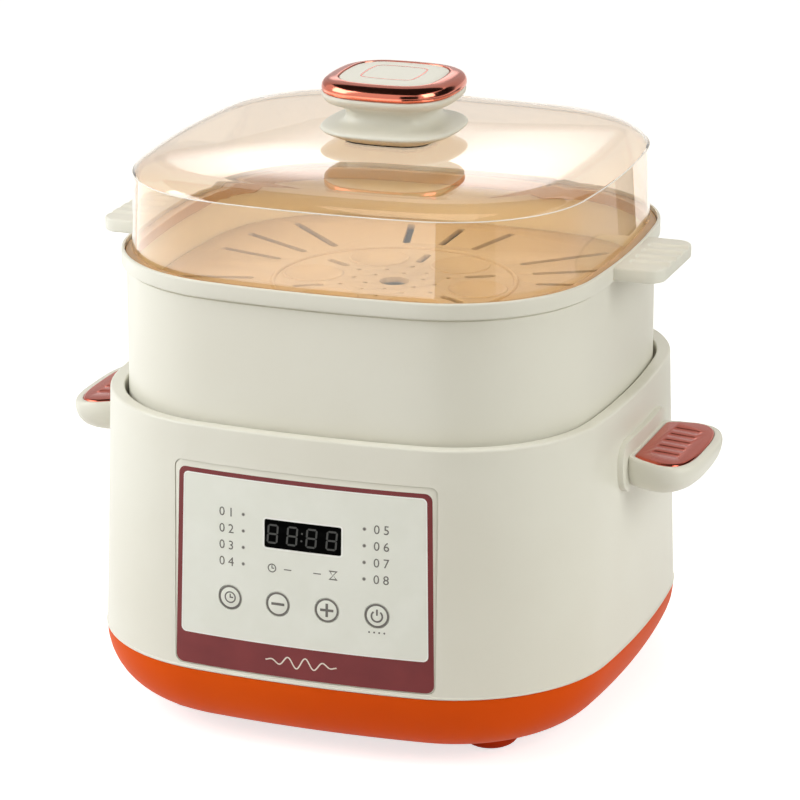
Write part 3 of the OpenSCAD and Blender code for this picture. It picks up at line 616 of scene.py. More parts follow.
BRASS = brushed_metal("brass", (0.72, 0.52, 0.24, 1), (0.62, 0.43, 0.18, 1), 0.22, "y")
PAN = coated_pan("champagne_pan_coating", (206, 172, 116), (190, 154, 98))
RUBBER = soft_rubber("grey_rubber", (58, 56, 54), (46, 44, 43))
CERAMIC = glazed_ceramic("white_glaze")
BOARD = circuit_board("green_circuit_board")
AMBER = clear_amber("tea_clear_plastic")
AMBER_EDGE = moulded("amber_edge_plastic", (200, 156, 96), (192, 146, 86), rough=0.16)
# A near-white finish for a thin bead on the lid's fold: a painted highlight line
PAINTED_FOLD_HIGHLIGHT = moulded("painted_fold_highlight", (250, 246, 240), (246, 241, 234), rough=0.2)
SMOKE = dark_glass("smoked_window")
FILM = printed("panel_film_print", (238, 239, 231), (234, 235, 226), rough=0.3)
BURGUNDY = printed("burgundy_ink", (124, 44, 46), (114, 38, 41), shine=0.35)
GREY_INK = printed("grey_ink", (112, 108, 102), (98, 94, 90))
PALE_INK = printed("pale_ink", (236, 226, 214), (228, 216, 204))
WHITE_INK = printed("white_ink", (254, 254, 250), (250, 250, 246))
UNLIT = printed("unlit_segments", (44, 44, 40), (38, 38, 35))


# The base

def front_band(name, inner, outer, low, high):
    """A layer that follows the leaning wall of the base between two offsets and two heights."""
    return shell(name, BASE, [(lean(low) + inner, low), (lean(low) + outer, low),
                              (lean(high) + outer, high), (lean(high) + inner, high)], sides=16)


def front_tool(points, depth=40.0):
    """A block with a front shape, long enough to reach through the front wall."""
    return solid("front_tool", points, "y", depth, where=-150.0)


def front_layer(name, inner, outer, points, low=Z_SEAM - 1.0, high=Z_RIM - 7.0):
    """The part of a wall layer inside a front shape."""
    return cut(front_band(name, inner, outer, low, high), front_tool(points), "INTERSECT")


def make_housing():
    rim = lean(Z_RIM)
    well = rim - RIM_W
    profile = ([(-2.6, Z_SEAM), (-0.3, Z_SEAM)] + arc(-0.45, Z_SEAM + 0.85, 0.85, -80, 60, 8)
               + [(lean(Z_SEAM + 2.4), Z_SEAM + 2.4), (lean(90.0), 90.0), (lean(150.0), 150.0),
                  (lean(Z_RIM - 2.4), Z_RIM - 2.4)]
               + arc(rim - 1.3, Z_RIM - 1.3, 1.35, 2, 90, 7)
               + [(rim - 3.0, Z_RIM - 0.1), (well + 1.8, Z_RIM - 0.4)]
               + arc(well + 0.9, Z_RIM - 1.3, 0.9, 90, 180, 5)
               + [(well, Z_RIM - 9.0), (well, Z_LEDGE + 0.6), (well - 0.6, Z_LEDGE), (-26.2, Z_LEDGE),
                  (-26.2, Z_LEDGE - 2.5), (well + 2.2, Z_LEDGE - 2.5), (well + 2.2, Z_RIM - 3.6),
                  (rim - 3.2, Z_RIM - 3.6), (lean(90.0) - 2.8, 90.0), (-2.8, Z_SEAM + 7.0)])
    housing = shell("housing_shell", BASE, profile, sides=16)
    cut(housing, front_layer("recess", -1.6, 4.0, rounded(139.0, 107.0, 4.1, 0.0, PANEL_Z, 10)))
    cut(housing, front_tool(rounded(112.0, 82.0, 2.0, 0.0, PANEL_Z), 30.0))
    inlet = rounded(31.0, 23.0, 2.0, 0.0, Z_SEAM + 18.0)
    cut(housing, solid("inlet_hole", inlet, "y", 30.0, where=118.0))
    fitted(housing, "base", "cream_plastic", CREAM, "base_housing")


def make_skirt():
    tall, thick = Z_SEAM - Z_FLOOR, 2.5
    r = (SKIRT_IN ** 2 + tall ** 2) / (2 * SKIRT_IN)
    low = math.degrees(math.asin(tall / r))
    low_inside = math.degrees(math.asin((tall - thick) / (r - thick)))
    profile = ([(-27.2, Z_FLOOR + thick)] + arc(-r, Z_SEAM, r - thick, -low_inside, -6, 14)
               + [(-2.6, Z_SEAM - 0.4), (-0.5, Z_SEAM - 0.05), (-0.12, Z_SEAM - 0.2)]
               + arc(-r, Z_SEAM, r, -1.2, -low, 26) + [(-22.4, Z_FLOOR), (-27.2, Z_FLOOR)])
    skirt = shell("skirt_shell", BASE, profile, (Z_FLOOR + thick, Z_FLOOR), sides=16)
    for side in (-1, 1):
        for row in range(-3, 4):
            slot = [(x + side * 34.0, y + row * 11.0) for x, y in pill(-22.0, 22.0, 4.0, 0)]
            cut(skirt, solid("vent", slot, "z", 6.0, Z_FLOOR - 2.0))
        for end in (-1, 1):
            well = circle(4.2, side * 114.5, end * 62.0, 24)
            cut(skirt, solid("screw_well", well, "z", Z_FLOOR + 7.5))
    fitted(skirt, "base", "orange_plastic", ORANGE, "base_skirt")


def make_feet():
    dome = [(6.8, 0.0), (8.4, 0.12), (10.5, 0.7), (12.9, 2.2), (14.6, 4.6), (15.4, 7.4),
            (15.6, Z_FLOOR + 0.2)]
    profile = [(0.0, 0.0)] + flowing(dome, 4) + [(0.0, Z_FLOOR + 0.2)]
    foot = turned("foot_front_right", profile, (FOOT_AT, -FOOT_AT), 40)
    fitted(foot, "base", "orange_rubber", FOOT_ORANGE, "rubber_feet")
    for name, x, y in (("foot_front_left", -1, 0), ("foot_rear_right", 0, 1), ("foot_rear_left", -1, 1)):
        other = copied(foot, name)
        bpy.ops.object.mode_set(mode="EDIT")
        bpy.ops.mesh.select_all(action="SELECT")
        bpy.ops.transform.translate(value=Vector((x, y, 0)) * 2 * FOOT_AT * MM)
        bpy.ops.object.mode_set(mode="OBJECT")
        fitted(other, "base", "orange_rubber", FOOT_ORANGE, "rubber_feet")


def make_pan():
    profile = ([(-52.0, Z_PAN)] + arc(-42.0, Z_PAN + 14.0, 14.0, -90, 0, 10)
               + [(-28.0, 90.0), (-28.0, Z_FLANGE - 0.8), (-27.2, Z_FLANGE), (-12.8, Z_FLANGE),
                  (-12.8, Z_FLANGE + 1.1), (-27.8, Z_FLANGE + 1.2), (-28.9, Z_FLANGE + 0.8),
                  (-29.5, Z_FLANGE - 0.4), (-29.5, 90.0)]
               + arc(-42.0, Z_PAN + 14.0, 12.5, 0, -90, 10) + [(-52.0, Z_POT)])
    pan = shell("heating_pan_sheet", BASE, profile, (Z_PAN, Z_POT))
    fitted(pan, "base", "pan_coating", PAN, "heating_pan")


# The panel

def inked(piece, lift, ink, body="base", slot="film"):
    """Lays a flat print on the front wall, a hair above it, after cutting it to follow the bow."""
    alone(piece)
    bpy.ops.object.mode_set(mode="EDIT")
    xs = [v.co.x for v in bmesh.from_edit_mesh(piece.data).verts]
    step, slack = 6.0 * MM, 0.01
    first = math.ceil(min(xs) / step + slack)
    for i in range(first, math.floor(max(xs) / step - slack) + 1):
        bpy.ops.mesh.select_all(action="SELECT")
        bpy.ops.mesh.bisect(plane_co=(i * step, 0, 0), plane_no=(1, 0, 0))
    mesh = bmesh.from_edit_mesh(piece.data)
    for v in mesh.verts:
        v.co.y = (BASE.front(v.co.x / MM, lean(v.co.z / MM)) - lift) * MM
    bmesh.update_edit_mesh(piece.data)
    bpy.ops.mesh.select_all(action="SELECT")
    bpy.ops.mesh.normals_make_consistent(inside=False)
    pick("FACE", lambda face: face.normal.y > 0)
    bpy.ops.mesh.flip_normals()
    bpy.ops.object.mode_set(mode="OBJECT")
    return fitted(piece, body, slot, ink)


def framed(name, outer, inner):
    """A flat print between two outlines of equal count."""
    places = [Vector((x, 0.0, z)) * MM for x, z in outer]
    begin(name, places[0])
    draw(places, closed=True)
    bpy.ops.mesh.duplicate()
    piece = bpy.context.object
    mesh = bmesh.from_edit_mesh(piece.data)
    moved = [v for v in mesh.verts if v.select]
    for v in moved:
        near = min(range(len(places)), key=lambda i: (places[i] - v.co).length)
        v.co = Vector((inner[near][0], 0.0, inner[near][1])) * MM
    bmesh.update_edit_mesh(piece.data)
    bpy.ops.mesh.select_all(action="SELECT")
    bpy.ops.mesh.select_mode(type="EDGE")
    bpy.ops.mesh.bridge_edge_loops()
    bpy.ops.object.mode_set(mode="OBJECT")
    return piece


def loop(name, x, z, outer, inner, n=40):
    """A printed ring."""
    return framed(name, circle(outer, x, z, n), circle(inner, x, z, n))


def bar(name, x, z, w, h):
    """A printed bar."""
    corners = ((-1, -1), (1, -1), (1, 1), (-1, 1))
    return flat(name, [(x + i * w / 2, z + j * h / 2) for i, j in corners])


def stroke(name, points, width):
    """A printed line of even width through points."""
    left, right = [], []
    for i, (x, z) in enumerate(points):
        ax, az = points[max(i - 1, 0)]
        bx, bz = points[min(i + 1, len(points) - 1)]
        length = math.hypot(bx - ax, bz - az)
        nx, nz = -(bz - az) / length * width / 2, (bx - ax) / length * width / 2
        left.append((x + nx, z + nz))
        right.append((x - nx, z - nz))
    return flat(name, left + right[::-1])


def figures(text, size, x, z):
    """Plain figures, as a flat print centred on a place of the panel."""
    bpy.ops.object.select_all(action="DESELECT")
    bpy.ops.object.text_add(location=(0, 0, 0))
    words = bpy.context.object
    words.data.body = text
    words.data.size = size * MM
    words.data.align_x = "CENTER"
    words.data.align_y = "CENTER"
    words.data.space_character = 1.5
    words.data.resolution_u = 3
    bpy.ops.object.convert(target="MESH")
    words = bpy.context.object
    words.rotation_euler = (math.pi / 2, 0, 0)
    words.location = Vector((x, 0.0, z)) * MM
    bpy.ops.object.transform_apply(location=True, rotation=True, scale=True)
    return words


def film_line(margin=0.0, low=FILM_LOW, high=FILM_HIGH):
    """The film's outline, a little wider at its foot, between two heights and moved in by a margin."""
    def half(z):
        return FILM_HALF - FILM_TAPER * (z - FILM_LOW) / (FILM_HIGH - FILM_LOW) - margin
    r = 4.0 - margin / 2
    points = []
    for side, z, way, turn in ((1, high, -1, 0), (-1, high, -1, 90), (-1, low, 1, 180), (1, low, 1, 270)):
        points += arc(side * (half(z) - r), z + way * r, r, turn, turn + 90, 10)
    return points


def window_line(margin, r, n=4):
    """The outline of the display window, made larger by a margin."""
    return rounded(WINDOW_W + margin, WINDOW_H + margin, r, MIDDLE_X, WINDOW_Z, n)


def with_gaps(layer, window):
    """Cuts the window and the key holes out of a layer of the panel."""
    for gap in [window] + [circle(KEY_GAP, x, KEY_Z) for x in KEY_X]:
        cut(layer, front_tool(gap))
    return layer


def make_panel():
    border = rounded(138.6, 106.6, 4.1, 0.0, PANEL_Z, 10)
    plate = with_gaps(front_layer("panel_frame", -1.6, -0.35, border), window_line(0.8, 0.4, 3))
    fitted(softened(plate, 0.3), "base", "cream_plastic", CREAM, "panel_plate")
    film = with_gaps(front_layer("panel_film_sheet", -0.33, 0.0, film_line()), window_line(0.2, 1.0))
    fitted(film, "base", "film", FILM, "panel_film")
    window = front_layer("display_glass", -0.35, 0.0, window_line(0.0, 0.9))
    fitted(softened(window, 0.1), "base", "window", SMOKE, "display_window")

    field = film_line(2.7, STRIP_Z, FILM_HIGH - 2.4)
    inked(framed("printed_border", film_line(), field), 0.04, BURGUNDY)
    edge = film_line(3.3, STRIP_Z + 0.6, FILM_HIGH - 3.0)
    inked(framed("printed_edge", field, edge), 0.05, WHITE_INK)
    window_edge = framed("printed_window_edge", window_line(2.0, 1.9), window_line(0.4, 1.1))
    inked(window_edge, 0.05, WHITE_INK)

    wave = []
    for i in range(61):
        share = i / 60
        height = 3.0 * math.sin(8 * math.pi * share) * math.sin(math.pi * share)
        wave.append((38.0 * (share - 0.5), STRIP_Z - 8.0 + height))
    inked(stroke("printed_wave", wave, 0.7), 0.07, PALE_INK)
    inked(joined("printed_labels", label_marks()), 0.05, GREY_INK)
    inked(joined("display_segments", unlit_digits()), 0.05, UNLIT, slot="window")


def label_marks():
    """The numbers and dots beside the display, the two signs under it and the dots under a key."""
    marks = []
    size, pitch = 6.6, 8.6
    for row in range(4):
        z = WINDOW_Z + 8.0 - pitch * row
        marks += [figures("0%d" % (row + 1), size, -40.4, z), figures("0%d" % (row + 5), size, 41.6, z)]
        marks += [flat("dot", circle(0.7, x, z, 16)) for x in (-31.2, 32.8)]
    z = WINDOW_Z - 17.8
    clock_x, glass_x = -15.6, 16.8
    marks += [loop("clock_face", clock_x, z, 2.3, 1.75, 24), bar("clock_hand", clock_x, z + 0.65, 0.5, 1.6),
              bar("clock_hand", clock_x + 0.55, z, 1.4, 0.5)]
    marks += [bar("dash", x, z, 4.0, 0.55) for x in (-7.2, 8.4)]
    outer = [(-2.4, 2.4), (2.4, 2.4), (0.15, 0.0), (2.4, -2.4), (-2.4, -2.4), (-0.15, 0.0)]
    inner = [(-1.3, 1.8), (1.3, 1.8), (0.0, 0.3), (1.3, -1.8), (-1.3, -1.8), (0.0, -0.3)]
    glass = [[(glass_x + dx, z + dz) for dx, dz in line] for line in (outer, inner)]
    marks.append(framed("sand_glass", *glass))
    return marks + [flat("key_dot", circle(0.5, KEY_X[3] - 3.9 + 2.6 * i, KEY_Z - 8.8, 12))
                    for i in range(4)]


def unlit_digits():
    """Four leaning digits of seven segments, and a colon."""
    segments = []
    slant = 0.08
    for digit in (-15.9, -5.5, 4.7, 15.3):
        x = MIDDLE_X + digit
        for dx, dz, upright in ((0, 4.6, 0), (0, 0, 0), (0, -4.6, 0), (-2.45, 2.3, 1), (2.45, 2.3, 1),
                                (-2.45, -2.3, 1), (2.45, -2.3, 1)):
            w, h = (0.5, 1.95) if upright else (2.0, 0.5)
            long, wide = max(w, h), min(w, h)
            tips = [(long + 0.3, 0), (long - 0.25, wide), (0.25 - long, wide),
                    (-long - 0.3, 0), (0.25 - long, -wide), (long - 0.25, -wide)]
            if upright:
                tips = [(pz, px) for px, pz in tips]
            line = [(x + dx + px + slant * (dz + pz), WINDOW_Z + dz + pz) for px, pz in tips]
            segments.append(flat("segment", line))
    return segments + [flat("colon", circle(0.55, 0.2 + slant * dz, WINDOW_Z + dz, 14))
                       for dz in (-1.9, 1.9)]


def make_keys():
    # Bars of each key's sign: place across, place up, width and height
    signs = {"key_timer": ((0.0, 0.75, 0.7, 2.2), (0.65, 0.0, 2.0, 0.7)),
             "key_minus": ((0.0, 0.0, 7.0, 1.35),),
             "key_plus": ((0.0, 0.0, 7.0, 1.35), (0.0, 2.09, 1.35, 2.82), (0.0, -2.09, 1.35, 2.82)),
             "key_function": ((0.0, 1.7, 0.9, 3.2),)}
    for (name, bars), x in zip(signs.items(), KEY_X):
        cap = front_layer(name + "_cap", -1.5, 0.0, circle(6.3, x, KEY_Z, 48), KEY_Z - 20.0, KEY_Z + 20.0)
        softened(cap, 0.25)
        back = 3.0 + x * x / (2 * BASE.side) - HALF - lean(KEY_Z)
        stem = solid("stem", circle(4.8, x, KEY_Z, 24), "y", 3.4, where=back - 2.2)
        foot = solid("foot", circle(2.5, x, KEY_Z, 20), "y", SWITCH_Y - back, where=back)
        fitted(joined(name + "_button", [cap, stem, foot]), name, "film", FILM, name)
        ink = [loop("ring", x, KEY_Z, 6.2, 5.2, 48)]
        ink += [bar("sign", x + dx, KEY_Z + dz, w, h) for dx, dz, w, h in bars]
        if name == "key_timer":
            ink.append(loop("sign", x, KEY_Z, 3.1, 2.4, 32))
        if name == "key_function":
            ink.append(stroke("sign", arc(x, KEY_Z - 0.3, 2.8, 128, 412, 30), 0.9))
        inked(joined(name + "_sign", ink), 0.04, GREY_INK, name)


# The handles

def handle_line(root, out, half, n=36):
    """Plan of a handle: a root with soft corners and a broad rounded end."""
    middle = root + (out - root) * 0.5
    end_power, side_power = 0.62, 0.68
    corner = [(root, half - 8.0), (root + 0.7, half - 6.2), (root + 2.5, half - 4.8),
              (root + 6.0, half - 2.8)]
    points = [(x, -y) for x, y in corner]
    for i in range(n + 1):
        a = math.radians(-90 + 180 * i / n)
        s = math.sin(a)
        points.append((middle + (out - middle) * max(math.cos(a), 0.0) ** end_power,
                       half * math.copysign(abs(s) ** side_power, s)))
    return points + corner[::-1]


def sloped(piece):
    """Turns a piece of the right handle about the foot of its face, outer end down."""
    foot = Matrix.Translation(Vector((HALF + lean(HANDLE_Z), 0.0, HANDLE_Z)) * MM)
    piece.matrix_world = foot @ Matrix.Rotation(math.radians(HANDLE_SLOPE), 4, "Y") @ foot.inverted()
    alone(piece)
    bpy.ops.object.transform_apply(location=True, rotation=True, scale=True)
    return piece


def make_handles():
    wall = HALF + lean(HANDLE_Z)
    root, out, tall = wall + 2.1, wall + 38.0, 18.0
    # From the face down: share of the depth, how far the end draws in, share of the width
    steps = [(0.0, -1.6, 0.965), (0.03, -0.7, 0.983), (0.07, -0.3, 0.992), (0.14, 0.0, 1.0),
             (0.26, 0.0, 1.0), (0.4, -0.3, 0.99), (0.52, -1.0, 0.97), (0.63, -2.0, 0.944),
             (0.74, -3.9, 0.908), (0.84, -6.6, 0.85), (0.92, -10.0, 0.777), (0.97, -12.9, 0.70),
             (1.0, -16.0, 0.62)]
    z = HANDLE_Z - 0.8
    slab("handle_right_grip", handle_line(root, out + steps[0][1], HANDLE_HALF * steps[0][2]), "z", 0.0, z)
    for old, new in zip(steps, steps[1:]):
        drop = -tall * (new[0] - old[0]) * MM
        bpy.ops.mesh.extrude_region_move(TRANSFORM_OT_translate={"value": (0, 0, drop)})
        grow = ((out + new[1] - root) / (out + old[1] - root), new[2] / old[2], 1)
        bpy.ops.transform.resize(value=grow, center_override=(root * MM, 0, z * MM))
    open_edge(z)
    bpy.ops.mesh.edge_face_add()
    grip = closed_up()
    well = handle_line(wall + 4.45, wall + 33.55, HANDLE_HALF - 3.05)
    cut(grip, solid("trim_well", well, "z", 10.0, HANDLE_Z - 2.8))
    softened(grip, 0.35, angle=60)
    sloped(grip)
    shield = front_band("handle_plate", 0.0, 3.0, HANDLE_Z - 30.5, HANDLE_Z + 17.5)
    plate = rounded(79.0, 26.5, 11.0, 0.0, HANDLE_Z - 6.5, 10)
    cut(shield, solid("shape", plate, "x", 60.0, 100.0), "INTERSECT")
    softened(shield, 0.9, 3, 60)
    handle = joined("handle_right_body", [grip, shield])
    fitted(handle, "base", "cream_plastic", CREAM, "handle_right")
    fitted(mirrored(handle, "handle_left_body"), "base", "cream_plastic", CREAM, "handle_left")

    face = handle_line(wall + 4.6, wall + 33.4, HANDLE_HALF - 3.2)
    trim = softened(solid("handle_right_trim", face, "z", 2.8, HANDLE_Z - 2.8), 1.5, 6, 60)
    for y in (-20.0, -10.0, 0.0, 10.0, 20.0):
        groove = solid("groove", circle(10.5, y, HANDLE_Z + 10.12, 96), "x", 18.0, wall + 9.4)
        cut(trim, softened(groove, 3.0, 6))
    softened(trim, 0.4, 3, 20)
    sloped(trim)
    fitted(trim, "base", "copper_trim", SOFT_COPPER, "handle_trim_right", angle=40)
    other = mirrored(trim, "handle_left_trim")
    fitted(other, "base", "copper_trim", SOFT_COPPER, "handle_trim_left", angle=40)


# The stack that lifts off

def tab_line(side, root, bend, half, r, n):
    """Plan of a tab with two round corners, on one side of the pot."""
    line = ([(root, -half)] + arc(bend, r - half, r, -90, 0, n) + arc(bend, half - r, r, 0, 90, n)
            + [(root, half)])
    return [(side * x, y) for x, y in line]


def make_stew_pot():
    base = Z_POT + 2.5
    profile = ([(-24.0, base), (-22.4, base), (-22.0, Z_POT + 0.5), (-21.4, Z_POT), (-16.6, Z_POT),
                (-16.0, Z_POT + 0.5), (-15.6, base)]
               + arc(-16.0, base + 16.0, 16.0, -86, 0, 12) + [(0.0, 110.0)]
               + arc(-2.5, Z_POT_TOP - 2.5, 2.5, 0, 180, 10) + [(-5.0, 110.0)]
               + arc(-16.0, base + 17.0, 11.0, 0, -90, 10) + [(-24.0, base + 6.0)])
    pieces = [shell("stew_pot_bowl", POT, profile, (base, base + 6.0))]
    for side in (-1, 1):
        grip = solid("grip", tab_line(side, 94.8, 99.0, 22.0, 8.0, 8), "z", 7.0, Z_POT_TOP - 9.0)
        pieces.append(softened(grip, 1.6, 4))
    fitted(joined("stew_pot_body", pieces), "stew_pot", "ceramic", CERAMIC, "stew_pot")


def make_pot_lid():
    z = Z_POT_TOP
    profile = ([(-37.0, z + 5.0), (-31.0, z + 5.0), (-10.0, z + 1.2), (-9.2, z + 0.4), (-9.0, z - 4.4),
                (-8.4, z - 5.0), (-6.4, z - 5.0), (-5.8, z - 4.4), (-5.6, z), (-1.0, z), (-0.4, z + 0.3),
                (-0.2, z + 1.2), (-0.2, z + 2.6), (-0.7, z + 3.5), (-1.8, z + 4.05)]
               + flowing([(-8.0, z + 5.4), (-18.0, z + 7.5), (-28.0, z + 9.2), (-37.0, z + 9.5)], 4))
    plate = shell("pot_lid_plate", POT, profile, (z + 5.0, z + 9.5))
    knob_line = [(13.0, z + 9.2), (10.4, z + 12.0), (9.0, z + 15.6), (10.4, z + 19.0), (14.4, z + 21.4),
                 (15.5, z + 23.8), (13.4, z + 26.4), (7.0, z + 27.3), (0.0, z + 27.5)]
    knob = turned("pot_lid_knob", [(0.0, z + 9.0)] + flowing(knob_line, 4), (0.0, 0.0))
    fitted(joined("pot_lid_body", [plate, knob]), "pot_lid", "ceramic", CERAMIC, "pot_lid")


def make_tier():
    profile = ([(-2.6, Z_TIER), (-0.4, Z_TIER), (0.0, Z_TIER + 0.5), (0.0, 190.0), (0.0, Z_BAND - 1.8),
                (-0.15, Z_BAND - 1.65), (-0.7, Z_BAND - 1.5), (-0.7, Z_BAND - 0.2), (2.3, Z_BAND),
                (2.52, Z_BAND + 0.1), (2.6, Z_BAND + 0.35)]
               + arc(1.6, Z_TOP - 1.0, 1.0, 0, 90, 5) + arc(1.2, Z_TOP - 0.3, 0.3, 90, 180, 2)
               + [(0.9, Z_SEAT), (-3.0, Z_SEAT), (-3.0, Z_SHELF + 0.4), (-3.4, Z_SHELF), (-7.6, Z_SHELF),
                  (-8.0, Z_SHELF - 0.5), (-8.0, Z_SHELF - 1.6), (-3.0, Z_SHELF - 6.0), (-3.0, Z_TIER + 0.4)])
    pieces = [shell("tier_wall", TIER, profile)]
    for side in (-1, 1):
        ear = solid("ear", tab_line(side, 126.6, 143.0, 31.0, 9.0, 10), "z", 7.2, Z_BAND + 0.5)
        softened(ear, 1.2, 4)
        for y in (-16.5, -5.5, 5.5, 16.5):
            groove = solid("groove", circle(5.0, y, Z_TOP + 3.5, 48), "x", side * 40.0, side * 131.0)
            cut(ear, softened(groove, 1.4, 4))
        pieces.append(ear)
    tier = fitted(joined("tier_body", pieces), "steamer", "cream_plastic", CREAM, "steamer_tier")
    # The inner walls between shelf and seat take the tan finish: painted amber light from the lid, not the
    # wall's own colour
    tier.data.materials.append(PAINTED_AMBER_LIGHT_WALL)
    for face in tier.data.polygons:
        heights = [tier.data.vertices[i].co.z / MM for i in face.vertices]
        inward = face.normal.x * face.center.x + face.normal.y * face.center.y < 0
        upright = abs(face.normal.z) < 0.3
        if inward and upright and min(heights) > Z_SHELF and max(heights) < Z_SEAT + 0.1:
            face.material_index = 1


def make_tray():
    def at(r, degrees):
        return (r * math.cos(math.radians(degrees)), r * math.sin(math.radians(degrees)))
    tray = solid("tray_plate", TIER.outline(-3.6, 6, 14), "z", Z_TRAY - Z_SHELF, Z_SHELF)
    holes = [circle(7.8)]
    for turn in range(0, 360, 60):
        holes.append(pill(37.0, 53.5, SLOT_W, turn + 30))
        holes += [pill(73.0, TIER.reach(turn + d) - 17.0, SLOT_W, turn + d) for d in (15, 30, 45)]
        holes += [circle(1.4, *at(r, turn + d), 16) for r, d in ((15.2, 30), (22.0, 0), (28.4, 30))]
        holes.append(circle(CUP_R + 0.4, *at(CUP_AT, turn)))
    tools = [solid("hole", points, "z", 8.0, Z_SHELF - 2.0) for points in holes]
    cut(tray, joined("holes", tools))
    softened(tray, 0.35, 2, 60)
    parts = [tray]
    ball = (CUP_R ** 2 + CUP_DEEP ** 2) / (2 * CUP_DEEP)
    middle = Z_TRAY - CUP_DEEP + ball

    def bowl(r, ball_r):
        return (r, middle - math.sqrt(ball_r ** 2 - r * r))
    dish = [bowl(r, ball) for r in (2.2, 4.0, 6.0, 8.0, 10.0, 12.0, 13.6, 14.4)]
    under = [bowl(r, ball + 2.0) for r in (14.0, 12.0, 10.0, 8.0, 6.0, 4.0, 2.2)]
    lip = [(14.8, Z_TRAY + 0.35), (15.4, Z_TRAY + 0.5), (15.9, Z_TRAY + 0.3), (16.1, Z_TRAY - 0.2),
           (15.2, Z_SHELF + 0.4)]
    for turn in range(0, 360, 60):
        parts.append(turned("egg_cup", dish + lip + under + dish[:1], at(CUP_AT, turn), 40))
    ridge = arc(63.0, Z_TRAY, 1.3, -20, 200, 10)
    parts.append(turned("ridge", ridge + ridge[:1], (0.0, 0.0), 96))
    # The cream tray is painted tan: painted amber light from the lid
    fitted(joined("tray_body", parts), "tray", "cream_plastic", PAINTED_AMBER_LIGHT_TRAY, "steaming_tray")


def inset(points, depth):
    """A line beside another one, on its inner side."""
    ends = [points[0]] + points + [points[-1]]
    line = []
    for (ax, az), (x, z), (bx, bz) in zip(ends, points, ends[2:]):
        length = math.hypot(bx - ax, bz - az)
        line.append((x - depth * (bz - az) / length, z + depth * (bx - ax) / length))
    return line


def make_lid():
    thick, root, head, flat_share = 1.5, -2.75, -4.1, 0.3
    fine = {"sides": 12, "corners": 28}
    low = Z_SEAT + 1.2
    wall = [(root + (head - root) * i / 6, low + (Z_FOLD - low) * i / 6) for i in range(7)]
    shoulder = [(0.0, 0.0), (1.0, 1.4), (2.5, 3.0), (5.0, 4.6), (8.0, 5.8), (12.0, 6.7), (17.0, 7.45)]
    outer = wall + [(head - inward, Z_FOLD + rise) for inward, rise in flowing(shoulder, 3)[1:]]
    inner = inset(outer, thick)
    sweep("lid_shell", TIER, inner[::-1] + outer, closed=False, **fine)
    for rim, crown in ((outer[-1][1], Z_CROWN), (inner[-1][1], Z_CROWN - thick)):
        open_edge(rim)
        share, height = 1.0, rim
        for new in (0.985, 0.965, 0.935, 0.9, 0.86, 0.81, 0.76, 0.7, 0.64, 0.58, 0.52, 0.46, 0.4, 0.34, 0.28,
                    0.2, 0.1):
            level = crown - (crown - rim) * max((new - flat_share) / (1 - flat_share), 0.0) ** 2
            bpy.ops.mesh.extrude_region_move(TRANSFORM_OT_translate={"value": (0, 0, (level - height) * MM)})
            bpy.ops.transform.resize(value=(new / share, new / share, 1), center_override=(0, 0, 0))
            share, height = new, level
        bpy.ops.mesh.edge_face_add()
    lid = closed_up()
    cut(lid, solid("vent", circle(2.5, 2.0, 108.4, 24), "z", 30.0, Z_CROWN - 20.0))
    fitted(lid, "lid", "amber_clear", AMBER, "lid_dome", angle=28)
    # A thin white bead swept along the fold: a painted highlight, standing in for the light the fold catches
    fold = shell("lid_fold_painted_highlight", TIER, arc(head + 0.1, Z_FOLD, 0.3, 0, 330, 11), **fine)
    fitted(fold, "lid", "amber_clear", PAINTED_FOLD_HIGHLIGHT, "lid_dome")

    z = Z_SEAT
    foot = [(-5.6, z - 3.0), (-5.2, z - 3.4), (-3.8, z - 3.4), (-3.4, z - 3.0), (-3.4, z), (0.1, z),
            (0.4, z + 0.3), (0.4, z + 2.0), (0.1, z + 2.4), (-2.3, z + 2.7), (-5.2, z + 2.7), (-5.6, z + 2.3)]
    fitted(shell("lid_foot", TIER, foot, **fine), "lid", "amber_clear", AMBER_EDGE, "lid_dome")


def make_knob():
    z, top = Z_KNOB, Z_RING
    spool = ([(-18.0, z), (-11.8, z), (-11.2, z + 0.25)]
             + flowing([(-9.6, z + 0.8), (-5.6, z + 2.3), (-2.4, z + 3.7), (-0.5, z + 4.7), (0.0, z + 5.7),
                        (-0.5, z + 6.6), (-1.8, z + 7.2), (-6.0, z + 7.8), (-9.4, z + 8.5), (-12.0, z + 10.0),
                        (-13.2, z + 12.4), (-12.6, top - 9.6), (-9.5, top - 7.2), (-5.6, top - 5.8),
                        (-3.0, top - 4.8), (-1.6, top - 3.4), (-1.0, top - 1.6), (-1.3, top - 0.2)], 4)
             + [(-1.7, top), (-18.0, top)])
    fitted(shell("knob_spool_body", KNOB, spool, (z, top)), "lid", "cream_plastic", CREAM, "knob_spool")

    high = top + 7.4
    ring = (flowing([(-1.5, top), (-0.9, top + 0.5), (-0.7, top + 1.8), (-0.8, top + 3.2), (-1.3, top + 4.6),
                     (-2.4, high - 1.5), (-4.4, high - 0.65), (-6.8, high - 0.2), (-8.6, high - 0.02),
                     (-9.2, high - 0.15)], 5)
            + [(-9.4, high - 0.6), (-9.4, top)])
    fitted(shell("knob_ring_body", KNOB, ring), "lid", "copper_trim", COPPER, "knob_ring")

    cap = ([(-18.0, top), (-9.6, top), (-9.6, high - 0.9)]
           + flowing([(-9.9, high - 0.4), (-10.7, high - 0.2), (-13.0, high + 0.05), (-18.0, high + 0.2)], 4))
    fitted(shell("knob_cap_body", KNOB, cap, (top, high + 0.2)), "lid", "cream_plastic", CREAM, "knob_cap")

    line = [(-21.4, high + 0.2), (-21.35, high + 0.26), (-20.45, high + 0.26), (-20.4, high + 0.2)]
    fitted(shell("knob_cap_ring", KNOB, line), "lid", "copper_trim", COPPER)


